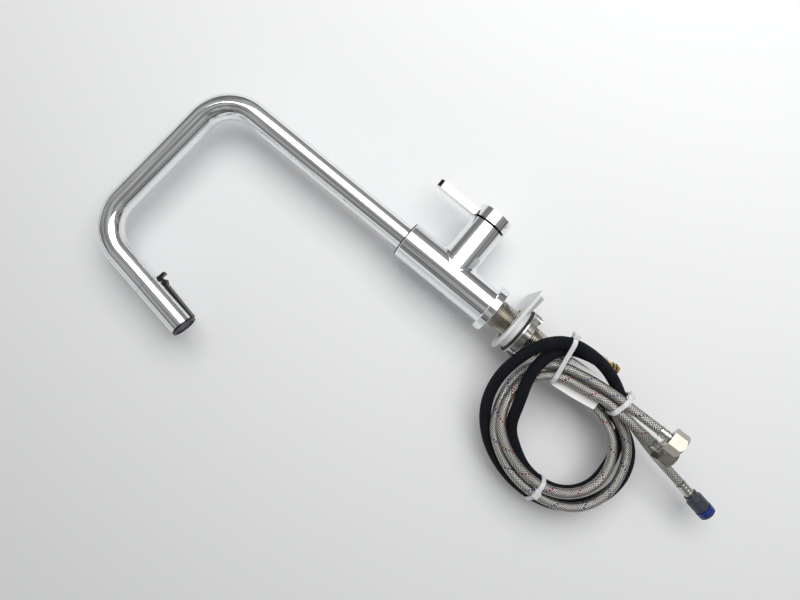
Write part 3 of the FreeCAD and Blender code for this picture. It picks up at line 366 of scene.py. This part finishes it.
# %% The bench that each finish starts from
class Finish:
    """A material with a handled surface, ready for what is special about it."""

    def __init__(self, name, colour, metallic, smooth, rough, smudge_scale=30.0,
                 grain_scale=2000.0, grain_depth=0.00001):
        self.material = bpy.data.materials.new(name)
        self.material.use_nodes = True
        self.tree = self.material.node_tree
        self.shader = self.tree.nodes["Principled BSDF"]
        self.shader.inputs["Base Color"].default_value = (*colour, 1)
        self.shader.inputs["Metallic"].default_value = metallic
        self.colour = None
        self.place = self.tree.nodes.new("ShaderNodeTexCoord").outputs["Object"]
        self.surface = self.add(handled, Vector=self.place)
        for label, value in (("Smudge Scale", smudge_scale), ("Smooth", smooth),
                             ("Rough", rough), ("Grain Scale", grain_scale)):
            self.surface.inputs[label].default_value = value
        self.link(self.surface.outputs["Roughness"], self.shader.inputs["Roughness"])
        self.bump = self.tree.nodes.new("ShaderNodeBump")
        self.bump.inputs["Distance"].default_value = grain_depth
        self.link(self.surface.outputs["Height"], self.bump.inputs["Height"])
        self.link(self.bump.outputs["Normal"], self.shader.inputs["Normal"])

    def link(self, out, socket):
        self.tree.links.new(out, socket)

    def add(self, group, **sockets):
        """Places a node group, with links to the sockets that are named."""
        node = self.tree.nodes.new("ShaderNodeGroup")
        node.node_tree = group
        for label, out in sockets.items():
            self.link(out, node.inputs[label])
        return node

    def paint(self, mask, colour):
        """Mixes another colour over the base colour where the mask says."""
        mix = self.tree.nodes.new("ShaderNodeMix")
        mix.data_type = "RGBA"
        if self.colour is None:
            mix.inputs["A"].default_value = self.shader.inputs["Base Color"].default_value
        else:
            self.link(self.colour, mix.inputs["A"])
        mix.inputs["B"].default_value = (*colour, 1)
        self.link(mask, mix.inputs["Factor"])
        self.colour = mix.outputs["Result"]
        self.link(self.colour, self.shader.inputs["Base Color"])

    def tint(self, low, high, colour):
        """Varies the colour with the broad smudges."""
        self.paint(spread(self.tree, self.surface.outputs["Tint"], low, high, 0.0, 1.0), colour)

    def wear_and_sheen(self, radius, amount, colour):
        """Shows another colour where edges are rubbed."""
        node = self.add(rubbed, Vector=self.place)
        node.inputs["Radius"].default_value = radius
        node.inputs["Wear"].default_value = amount
        self.paint(node.outputs["Mask"], colour)


# %% [markdown]
# ### Chrome
# Polished chrome is almost a mirror with a faint cold tint. What it shows is the room, so most
# of its look comes from the lights, and its own nodes only soften it a little where hands have
# been.

# %% Chrome and bright steel
chrome = Finish("chrome", (0.86, 0.87, 0.88), 1.0, 0.025, 0.06, 22.0, 900.0, 0.0000004)
chrome.tint(0.45, 0.75, (0.82, 0.83, 0.84))

steel = Finish("steel", (0.62, 0.60, 0.57), 1.0, 0.16, 0.30, 160.0, 3000.0, 0.000004)
steel.tint(0.4, 0.7, (0.52, 0.50, 0.47))
steel.wear_and_sheen(0.0004, 0.7, (0.80, 0.79, 0.77))

washer_steel = Finish("washer_steel", (0.60, 0.59, 0.56), 1.0, 0.28, 0.42, 60.0, 2600.0, 0.000006)
washer_steel.tint(0.4, 0.7, (0.50, 0.49, 0.46))
washer_steel.wear_and_sheen(0.0004, 0.8, (0.78, 0.77, 0.75))
print("metals so far:", chrome.material.name, steel.material.name, washer_steel.material.name)

# %% [markdown]
# ### Nickel, cast zinc and brass
# The shank and the hose nuts are brass under warm nickel. The clamp nut is cast and left dull,
# so it has a coarse grain. The spray hose's stem is bare turned brass.

# %% Nickel, cast and brass finishes
nickel = Finish("nickel", (0.47, 0.44, 0.38), 1.0, 0.26, 0.40, 60.0, 2400.0, 0.000003)
nickel.tint(0.42, 0.7, (0.50, 0.45, 0.38))
nickel.wear_and_sheen(0.0005, 0.8, (0.80, 0.75, 0.66))

shank_nickel = Finish("shank_nickel", (0.56, 0.53, 0.46), 1.0, 0.16, 0.26, 25.0, 2400.0, 0.000002)
shank_nickel.tint(0.4, 0.8, (0.50, 0.47, 0.40))

cast_zinc = Finish("cast_zinc", (0.42, 0.41, 0.39), 1.0, 0.36, 0.58, 220.0, 1300.0, 0.00004)
cast_zinc.tint(0.35, 0.7, (0.30, 0.29, 0.27))
cast_zinc.wear_and_sheen(0.0007, 0.9, (0.68, 0.67, 0.65))

brass = Finish("brass", (0.83, 0.60, 0.16), 1.0, 0.14, 0.28, 160.0, 2600.0, 0.000004)
brass.tint(0.42, 0.7, (0.66, 0.45, 0.12))
brass.wear_and_sheen(0.0003, 0.6, (0.93, 0.78, 0.42))
print("warm metals:", nickel.material.name, shank_nickel.material.name, brass.material.name)

# %% [markdown]
# ### Plastics, rubber, ceramic and card
# Moulded plastic has a fine even grain, and its rubbed edges are painted lighter: partly wear,
# partly a painted sheen. Rubber is duller and a little dusty. The nylon ties let some light in,
# so they get a little subsurface scattering, set on the shader's own socket.

# %% Plastics, rubber, ceramic and card
black_plastic = Finish("black_plastic", (0.012, 0.012, 0.014), 0.0, 0.28, 0.42, 90.0, 2600.0,
                       0.00001)
# The rubbed edges are painted lighter: partly wear, partly a painted sheen.
black_plastic.wear_and_sheen(0.0004, 0.4, (0.025, 0.025, 0.028))
black_plastic.shader.inputs["Specular IOR Level"].default_value = 0.35

seal_rubber = Finish("seal_rubber", (0.014, 0.014, 0.015), 0.0, 0.52, 0.75, 110.0, 1800.0, 0.00002)
seal_rubber.tint(0.5, 0.78, (0.045, 0.045, 0.045))

nozzle_rubber = Finish("nozzle_rubber", (0.030, 0.038, 0.060), 0.0, 0.42, 0.6, 120.0, 2200.0,
                       0.00001)
nozzle_rubber.tint(0.5, 0.8, (0.055, 0.062, 0.085))

inner_plastic = Finish("inner_plastic", (0.55, 0.55, 0.52), 0.0, 0.36, 0.5, 90.0, 2200.0, 0.00001)
inner_plastic.tint(0.45, 0.75, (0.48, 0.48, 0.45))

ceramic = Finish("ceramic", (0.80, 0.78, 0.72), 0.0, 0.16, 0.3, 140.0, 3000.0, 0.000003)
ceramic.tint(0.45, 0.7, (0.74, 0.71, 0.65))

white_plastic = Finish("white_plastic", (0.82, 0.83, 0.83), 0.0, 0.34, 0.5, 60.0, 2200.0, 0.00001)
white_plastic.tint(0.5, 0.8, (0.76, 0.77, 0.76))
# The rubbed edges are painted lighter: partly wear, partly a painted sheen.
white_plastic.wear_and_sheen(0.0006, 0.6, (0.88, 0.88, 0.88))

tie_nylon = Finish("tie_nylon", (0.78, 0.79, 0.80), 0.0, 0.3, 0.46, 160.0, 2400.0, 0.00001)
tie_nylon.tint(0.45, 0.75, (0.70, 0.72, 0.73))
tie_nylon.shader.inputs["Subsurface Weight"].default_value = 0.25
tie_nylon.shader.inputs["Subsurface Radius"].default_value = (0.0012, 0.0012, 0.0012)

connector_grey = Finish("connector_grey", (0.040, 0.047, 0.062), 0.0, 0.34, 0.5, 100.0, 2400.0,
                        0.00002)
connector_grey.tint(0.45, 0.75, (0.060, 0.068, 0.085))
# The rubbed edges are painted lighter: partly wear, partly a painted sheen.
connector_grey.wear_and_sheen(0.0005, 0.5, (0.12, 0.13, 0.15))

collar_blue = Finish("collar_blue", (0.012, 0.032, 0.22), 0.0, 0.2, 0.34, 100.0, 2400.0, 0.000006)
collar_blue.tint(0.5, 0.8, (0.02, 0.05, 0.28))

tag_card = Finish("tag_card", (0.86, 0.85, 0.83), 0.0, 0.34, 0.55, 70.0, 1400.0, 0.00002)
tag_card.tint(0.45, 0.78, (0.80, 0.79, 0.76))
tag_card.wear_and_sheen(0.0006, 0.7, (0.70, 0.69, 0.66))
print("plastics and card ready")

# %% [markdown]
# ### Woven sleeves
# The steel braid and the textile sleeve use the same weave with different counts. Its height
# replaces the grain in the Bump node, and the tracer strand takes its colour. Its low places are
# painted dark: painted shade where the strands dive under each other, and partly the dark core
# that shows between the strands.
# The hose that runs inside the faucet has no UV map, so its textile is drawn on object
# coordinates.

# %% Woven finishes
def weave_on(finish, strands, turns, wires, depth, gap_and_shade_colour, tracer=None):
    """Draws the weave on the hose's own UV map and gives it to the finish."""
    layout = finish.tree.nodes.new("ShaderNodeUVMap")
    layout.uv_map = "weave"
    node = finish.add(weave, UV=layout.outputs["UV"])
    for label, value in (("Strands", strands), ("Turns per Metre", turns), ("Wires", wires)):
        node.inputs[label].default_value = value
    if tracer:
        finish.paint(node.outputs["Tracer"], tracer)
    # Painted shade in the weave's low places, partly the dark core between strands.
    finish.paint(node.outputs["Gap and Shade"], gap_and_shade_colour)
    finish.link(node.outputs["Height"], finish.bump.inputs["Height"])
    finish.bump.inputs["Distance"].default_value = depth
    return node


def steel_braid(name, tracer=None):
    """Woven steel wire. The tracer is a dyed thread, so it isn't metal."""
    finish = Finish(name, (0.74, 0.72, 0.68), 1.0, 0.26, 0.4, 40.0)
    finish.tint(0.4, 0.8, (0.66, 0.64, 0.60))
    # The dark colour is painted shade where the wires dive under, and the black rubber between the
    # wires.
    woven = weave_on(finish, 12.0, 34.0, 3.0, 0.0003, (0.045, 0.042, 0.038), tracer)
    if tracer:
        finish.link(calc(finish.tree, "SUBTRACT", 1.0, woven.outputs["Tracer"]),
                    finish.shader.inputs["Metallic"])
    return finish


hot_braid = steel_braid("steel_braid_hot", (0.42, 0.02, 0.02))
cold_braid = steel_braid("steel_braid_cold", (0.02, 0.07, 0.36))
plain_braid = steel_braid("steel_braid_plain")

textile = Finish("black_textile", (0.0032, 0.0044, 0.0095), 0.0, 0.7, 0.9, 70.0)
textile.tint(0.45, 0.75, (0.0055, 0.0070, 0.0135))
# The darker colour is painted shade in the weave's low places.
weave_on(textile, 26.0, 30.0, 3.0, 0.00022, (0.0015, 0.0018, 0.003))
textile.shader.inputs["Specular IOR Level"].default_value = 0.25

inner_textile = Finish("inner_textile", (0.0060, 0.0075, 0.0135), 0.0, 0.62, 0.85, 70.0, 1500.0,
                       0.0002)
inner_textile.tint(0.45, 0.75, (0.010, 0.012, 0.020))
inner_textile.shader.inputs["Sheen Weight"].default_value = 0.12
print("woven finishes:", hot_braid.material.name, cold_braid.material.name, textile.material.name)

# %% [markdown]
# ## Finishes on the solids
# The solids that stay in view keep their exact shape and get their finish through their
# material slots.

# %% Give each solid its finish
finishes = {
    chrome: ["base_flange", "body_casting", "spout_tube", "head_shell", "handle_cap", "lever_bar"],
    black_plastic: ["head_spine", "rocker", "spray_face", "dock_liner", "handle_gap_ring",
                    "spout_seat_ring", "stem_carrier"],
    seal_rubber: ["base_seal", "swivel_seals", "union_washers", "stem_o_rings", "mounting_gasket"],
    nozzle_rubber: ["nozzle_mat", "aerator"],
    inner_plastic: ["swivel_bushes", "head_core", "check_valve", "cartridge_body",
                    "cartridge_seat"],
    ceramic: ["fixed_disc", "moving_disc"],
    brass: ["cartridge_nut", "head_hose_nut", "hose_tails", "spray_stem"],
    steel: ["hose_ferrules", "spray_ferrule", "valve_stem", "lever_pin", "rocker_pin",
            "handle_set_screw", "jack_screws", "hot_tailpiece", "cold_tailpiece"],
    washer_steel: ["mounting_washer"],
    cast_zinc: ["mounting_nut"],
    nickel: ["hot_union_nut", "cold_union_nut"],
    shank_nickel: ["threaded_shank"],
    white_plastic: ["support_plate"],
    tie_nylon: ["tie_top", "tie_middle", "tie_bottom"],
    connector_grey: ["connector_body"],
    collar_blue: ["release_collar"],
    tag_card: ["hose_tag"],
    inner_textile: ["hose_in_body", "hose_in_spout", "hose_in_head", "spray_hose"],
    plain_braid: ["hot_hose", "cold_hose", "outlet_hose"]}
for finish, names in finishes.items():
    for name in names:
        nodes[name].material_slots[0].material = finish.material
for piece, finish in ((spray_hose, textile), (hot_hose, hot_braid), (cold_hose, cold_braid),
                      (outlet_hose, plain_braid)):
    piece.data.materials.append(finish.material)
print("solids with a finish:", sum(len(names) for names in finishes.values()))

# %% [markdown]
# ## The threaded shank
# The shank's solid is a plain bar, but the real one carries a fine thread with a flat milled
# on two sides. A thread is a small tooth wound up a cylinder, and that is what the Screw
# modifier does. The tooth is half of a small plane, whose outer edge is pulled to a point. The
# pitch is set so that the turns can be seen in the picture, and was not measured.

# %% Helpers for modelling by hand
def only(piece):
    """Deselects everything, then makes this piece the selected and active one."""
    bpy.ops.object.select_all(action="DESELECT")
    piece.select_set(True)
    bpy.context.view_layer.objects.active = piece
    return piece


def named(name):
    """Names the piece that was just added, and its mesh."""
    piece = bpy.context.active_object
    piece.name = name
    piece.data.name = name
    return piece


def settle(piece):
    """Puts the piece's place into its mesh, as a solid's is."""
    only(piece)
    bpy.ops.object.transform_apply(location=True, rotation=True, scale=True)


def pick(piece, kind, test):
    """In edit mode, selects only the verts, edges or faces whose middle passes the test."""
    bpy.ops.mesh.select_mode(type=kind)
    bpy.ops.mesh.select_all(action="DESELECT")
    mesh = bmesh.from_edit_mesh(piece.data)
    group = {"VERT": mesh.verts, "EDGE": mesh.edges, "FACE": mesh.faces}[kind]
    for item in group:
        corners = [item] if kind == "VERT" else item.verts
        middle = sum((v.co for v in corners), Vector()) / len(corners)
        if test(middle, item):
            item.select_set(True)
    mesh.select_flush_mode()
    bmesh.update_edit_mesh(piece.data)


def apply_modifiers(piece):
    """Applies the piece's modifiers in their order."""
    only(piece)
    for modifier in list(piece.modifiers):
        bpy.ops.object.modifier_apply(modifier=modifier.name)


# %% Wind the thread
pitch = 0.0020
root_r, crest_r = 0.01515, 0.01595
shank_low, shank_high = -0.062, -0.0002
turns = math.ceil((shank_high - shank_low) / pitch) + 3
bpy.ops.object.select_all(action="DESELECT")
bpy.ops.mesh.primitive_plane_add(size=pitch, location=(root_r, 0, shank_low - pitch),
                                 rotation=(math.pi / 2, 0, 0))
shank = named("shank_thread")
settle(shank)
bpy.ops.object.mode_set(mode="EDIT")
pick(shank, "VERT", lambda middle, item: middle.x < root_r)
bpy.ops.mesh.delete(type="VERT")
bpy.ops.mesh.select_all(action="SELECT")
bpy.ops.mesh.subdivide(number_cuts=1)
pick(shank, "VERT", lambda middle, item: abs(middle.z - shank_low + pitch) > pitch * 0.3)
bpy.ops.transform.translate(value=(root_r - crest_r, 0, 0))
bpy.ops.mesh.select_all(action="SELECT")
bpy.ops.transform.translate(value=(crest_r - root_r - pitch / 2, 0, 0))
bpy.ops.object.mode_set(mode="OBJECT")
wind = shank.modifiers.new("wind", "SCREW")
wind.axis = "Z"
wind.steps = wind.render_steps = 96
wind.screw_offset = pitch
wind.iterations = turns
apply_modifiers(shank)
print("thread turns", turns, "faces", len(shank.data.polygons))

# %% [markdown]
# ### Cutting the shank
# The winding starts and ends in a slope, so it is wound too long and cut square with two
# bisects that fill their cuts. Its turns are merged first, because a fill needs closed edges.
# A boolean with a block mills both flats at once, and one with a cylinder bores the middle.

# %% Cut the shank to length, mill its flats and bore it
bpy.ops.object.mode_set(mode="EDIT")
bpy.ops.mesh.select_all(action="SELECT")
bpy.ops.mesh.remove_doubles(threshold=0.00002)
for height, outward in ((shank_low, -1), (shank_high, 1)):
    bpy.ops.mesh.select_all(action="SELECT")
    bpy.ops.mesh.bisect(plane_co=(0, 0, height), plane_no=(0, 0, outward), use_fill=True,
                        clear_outer=True)
bpy.ops.mesh.select_all(action="SELECT")
bpy.ops.mesh.normals_make_consistent(inside=False)
bpy.ops.object.mode_set(mode="OBJECT")
bpy.ops.mesh.primitive_cube_add(size=1, location=(0, 0, -0.03), scale=(0.028, 0.04, 0.1))
flats = named("flats_cutter")
bpy.ops.mesh.primitive_cylinder_add(vertices=96, radius=0.013, depth=0.2)
bore = named("bore_cutter")
for cutter, operation in ((flats, "INTERSECT"), (bore, "DIFFERENCE")):
    cut = shank.modifiers.new(cutter.name, "BOOLEAN")
    cut.operation = operation
    cut.object = cutter
    cut.solver = "EXACT"
apply_modifiers(shank)
for cutter in (flats, bore):
    bpy.data.objects.remove(cutter)
only(shank)
bpy.ops.object.shade_smooth_by_angle(angle=math.radians(25))
shank.data.materials.clear()
shank.data.materials.append(shank_nickel.material)
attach(shank, "base")
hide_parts("threaded_shank")
print("shank faces", len(shank.data.polygons))

# %% [markdown]
# ## The lever
# The lever is a plain bar, and its whole character is in its crisp edges: narrow flat chamfers,
# and a broad one at the tip that leans until it mirrors the dark line of the room. So a cube of
# the bar's size gets its tip edge bevelled first, a foot extruded into the cap's slot, and a
# Bevel modifier for the rest. The faces stay flat, because flat chrome has flat reflections.

# %% Lever
bpy.ops.object.select_all(action="DESELECT")
low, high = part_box("lever_bar")
skirt = 0.0795
tip_bevel, tip_lean = 0.0036, 0.0011
near = 0.0001
bpy.ops.mesh.primitive_cube_add(size=1, location=((low.x + high.x) / 2, 0, (skirt + high.z) / 2),
                                scale=(high.x - low.x, high.y - low.y, high.z - skirt))
lever = named("lever_blade")
settle(lever)
bpy.ops.object.mode_set(mode="EDIT")
pick(lever, "EDGE", lambda middle, item: middle.z > high.z - near and middle.y < low.y + near)
bpy.ops.mesh.bevel(offset=tip_bevel, segments=1, affect="EDGES")
pick(lever, "VERT", lambda middle, item: middle.y < low.y + near and middle.z > high.z - 0.005)
bpy.ops.transform.translate(value=(0, 0, -tip_lean))
pick(lever, "FACE", lambda middle, item: item.normal.z < -0.9)
bpy.ops.mesh.extrude_region_move(TRANSFORM_OT_translate={"value": (0.0015, 0, -0.0034)})
bpy.ops.object.mode_set(mode="OBJECT")
chamfer = lever.modifiers.new("chamfer", "BEVEL")
chamfer.width = 0.0007
chamfer.segments = 1
chamfer.limit_method = "ANGLE"
apply_modifiers(lever)
lever.data.materials.append(chrome.material)
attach(lever, "lever")
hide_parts("lever_bar")
print("lever faces", len(lever.data.polygons))

# %% [markdown]
# ## Crimped ferrules
# Where a hose ends, a thin steel sleeve is crimped onto it in rings, which bite into the
# rubber. One ferrule is made from a cylinder: bisects add the edges of three rings, an inset
# sinks the faces between them, and a Bevel modifier softens the creases. It is copied to each
# hose's end, each copy with its own mesh, and turned along the hose's last run.

# %% Ferrule
ferrule_r, ferrule_long = 0.0054, 0.0140
bpy.ops.object.select_all(action="DESELECT")
bpy.ops.mesh.primitive_cylinder_add(vertices=48, radius=ferrule_r, depth=ferrule_long,
                                    location=(0, 0, ferrule_long / 2))
ferrule = named("ferrule_pattern")
settle(ferrule)
bpy.ops.object.mode_set(mode="EDIT")
rings = ((0.0022, 0.0042), (0.0062, 0.0082), (0.0102, 0.0110))
for ring in rings:
    for level in ring:
        bpy.ops.mesh.select_all(action="SELECT")
        bpy.ops.mesh.bisect(plane_co=(0, 0, level), plane_no=(0, 0, 1))
for bottom, top in rings:
    pick(ferrule, "FACE", lambda middle, item: bottom < middle.z < top)
    bpy.ops.mesh.inset(thickness=0.0003, depth=-0.00045, use_even_offset=True)
bpy.ops.object.mode_set(mode="OBJECT")
soften = ferrule.modifiers.new("soften", "BEVEL")
soften.width = 0.00022
soften.segments = 2
soften.limit_method = "ANGLE"
apply_modifiers(ferrule)
bpy.ops.object.shade_smooth_by_angle(angle=math.radians(35))
ferrule.data.materials.append(steel.material)


def end_of(route):
    """The place and direction of a hose's end, as a matrix."""
    end = Vector(route[-1]) / 1000
    ahead = (end - Vector(route[-2]) / 1000).normalized()
    return Matrix.Translation(end) @ ahead.to_track_quat("Z", "Y").to_matrix().to_4x4()


ferrule_places = {"hot_ferrule": hot_route, "cold_ferrule": cold_route,
                  "outlet_ferrule": outlet_route}
for name, route in ferrule_places.items():
    copy = ferrule.copy()
    copy.data = ferrule.data.copy()
    copy.name = copy.data.name = name
    bpy.context.scene.collection.objects.link(copy)
    copy.matrix_world = end_of(route)
    settle(copy)
    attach(copy, "base")
    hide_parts("hose_ferrules")
bpy.data.objects.remove(ferrule)
print("ferrules placed:", len(ferrule_places))

# %% [markdown]
# ## The blank tag
# A coated card hangs between the hoses under the first tie. It is left blank. A grid gives a
# flat sheet with enough points to bend: its corners are rounded with a vertex bevel, each row
# is moved to where the card lies between the hoses, its left side curls towards the camera,
# and Solidify gives it its thickness.

# %% Tag
bpy.ops.object.select_all(action="DESELECT")
bpy.ops.mesh.primitive_grid_add(x_subdivisions=14, y_subdivisions=20, size=1)
tag = named("blank_tag")
tag_wide, tag_long = 0.034, 0.050
curl_share, curl_depth = 0.35, 0.0012
bpy.ops.object.mode_set(mode="EDIT")
bpy.ops.transform.resize(value=(tag_wide, tag_long, 1))
pick(tag, "VERT", lambda middle, item: abs(middle.x) > 0.0165 and abs(middle.y) > 0.0245)
bpy.ops.mesh.bevel(offset=0.0016, segments=4, affect="VERTICES")
bpy.ops.object.mode_set(mode="OBJECT")
tag_rows = [((-0.0215, -0.0092, -0.0885), (0.0115, -0.0095, -0.0895)),
            ((-0.0188, -0.0103, -0.1120), (0.0145, -0.0109, -0.1120)),
            ((-0.0145, -0.0138, -0.1360), (0.0135, -0.0152, -0.1360))]
for point in tag.data.vertices:
    down, across = 0.5 - point.co.y / tag_long, 0.5 + point.co.x / tag_wide
    upper, lower = tag_rows[int(down > 0.5)], tag_rows[int(down > 0.5) + 1]
    share = down * 2 - (1 if down > 0.5 else 0)
    left = Vector(upper[0]).lerp(Vector(lower[0]), share)
    point.co = left.lerp(Vector(upper[1]).lerp(Vector(lower[1]), share), across)
    point.co.y -= curl_depth * (max(0.0, curl_share - across) / curl_share) ** 2
card = tag.modifiers.new("card", "SOLIDIFY")
card.thickness = 0.0004
card.offset = 0
apply_modifiers(tag)
bpy.ops.object.shade_smooth_by_angle(angle=math.radians(40))
tag.data.materials.append(tag_card.material)
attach(tag, "base")
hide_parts("hose_tag")
print("tag faces", len(tag.data.polygons))

# %% [markdown]
# ## The table and the light
# The faucet lies on a near-white table, which in this upright frame is a wall just behind it.
# Seen from behind, the wall lets the view through, so that the back can be judged too.

# %% Table
bpy.ops.object.select_all(action="DESELECT")
bpy.ops.mesh.primitive_plane_add(size=4, location=(0, 0.0405, 0), rotation=(math.pi / 2, 0, 0))
table = named("table_top")
table_paint = bpy.data.materials.new("table_white")
table_paint.use_nodes = True
tree = table_paint.node_tree
paint = tree.nodes["Principled BSDF"]
paint.inputs["Base Color"].default_value = (0.90, 0.905, 0.91, 1)
paint.inputs["Roughness"].default_value = 0.6
paint.inputs["Specular IOR Level"].default_value = 0.2
clear = tree.nodes.new("ShaderNodeBsdfTransparent")
choose = tree.nodes.new("ShaderNodeMixShader")
behind = tree.nodes.new("ShaderNodeNewGeometry").outputs["Backfacing"]
tree.links.new(behind, choose.inputs["Fac"])
tree.links.new(paint.outputs["BSDF"], choose.inputs[1])
tree.links.new(clear.outputs["BSDF"], choose.inputs[2])
tree.links.new(choose.outputs["Shader"], tree.nodes["Material Output"].inputs["Surface"])
table.data.materials.append(table_paint)
print("table normal", tuple(round(c, 2) for c in table.data.polygons[0].normal))

# %% [markdown]
# ### The window
# One large soft lamp to the right stands for a window. Chrome mirrors it as the long white band
# on every tube, so its width sets the width of that band. A spot lamp would leave a thin line.

# %% Window light
window_data = bpy.data.lights.new("window", "AREA")
window_data.shape = "RECTANGLE"
window_data.size = 1.3
window_data.size_y = 1.6
window_data.energy = 20.5
window = bpy.data.objects.new("window", window_data)
bpy.context.scene.collection.objects.link(window)
window.location = (0.72, -1.28, 0.22)
window.rotation_euler = (math.pi / 2, 0, 0)
print("window light", window_data.energy, "W")

# %% [markdown]
# ### The room
# Chrome also needs a room to mirror. The world gets lighter and darker with the height over the
# table: pale low down, where the table goes on, then one thin dark line where it meets the far
# walls, and soft greys above. Noise breaks the greys up as furniture would. The camera itself
# sees a plain pale colour in its place, through Light Path.

# %% Room
world = bpy.data.worlds.new("room")
bpy.context.scene.world = world
world.use_nodes = True
tree = world.node_tree
sky = tree.nodes["Background"]
direction = tree.nodes.new("ShaderNodeTexCoord").outputs["Generated"]
split = tree.nodes.new("ShaderNodeSeparateXYZ")
tree.links.new(direction, split.inputs["Vector"])
height = calc(tree, "SUBTRACT", calc(tree, "MULTIPLY", split.outputs["X"], 0.20),
              split.outputs["Y"])
ramp = tree.nodes.new("ShaderNodeValToRGB")
tree.links.new(height, ramp.inputs["Fac"])
steps = [(0.0, 0.60), (0.15, 0.72), (0.165, 0.012), (0.205, 0.015), (0.225, 0.20), (0.50, 0.27),
         (0.80, 0.36), (1.0, 0.48)]
ramp.color_ramp.elements.remove(ramp.color_ramp.elements[0])
ramp.color_ramp.elements[0].position = steps[0][0]
for position, level in steps[1:]:
    ramp.color_ramp.elements.new(position)
for element, (position, level) in zip(ramp.color_ramp.elements, steps):
    element.color = (level, level * 1.005, level * 1.01, 1)
clutter = spread(tree, noise(tree, direction, 2.2, 4.0, 0.65), 0.36, 0.60, 0.45, 1.25)
shade = tree.nodes.new("ShaderNodeVectorMath")
shade.operation = "SCALE"
tree.links.new(ramp.outputs["Color"], shade.inputs[0])
tree.links.new(clutter, shade.inputs["Scale"])
tree.links.new(shade.outputs["Vector"], sky.inputs["Color"])
sky.inputs["Strength"].default_value = 1.0
plain = tree.nodes.new("ShaderNodeBackground")
plain.inputs["Color"].default_value = (0.86, 0.865, 0.87, 1)
seen = tree.nodes.new("ShaderNodeMixShader")
tree.links.new(tree.nodes.new("ShaderNodeLightPath").outputs["Is Camera Ray"], seen.inputs["Fac"])
tree.links.new(sky.outputs["Background"], seen.inputs[1])
tree.links.new(plain.outputs["Background"], seen.inputs[2])
tree.links.new(seen.outputs["Shader"], tree.nodes["World Output"].inputs["Surface"])
print("room light steps", len(steps))
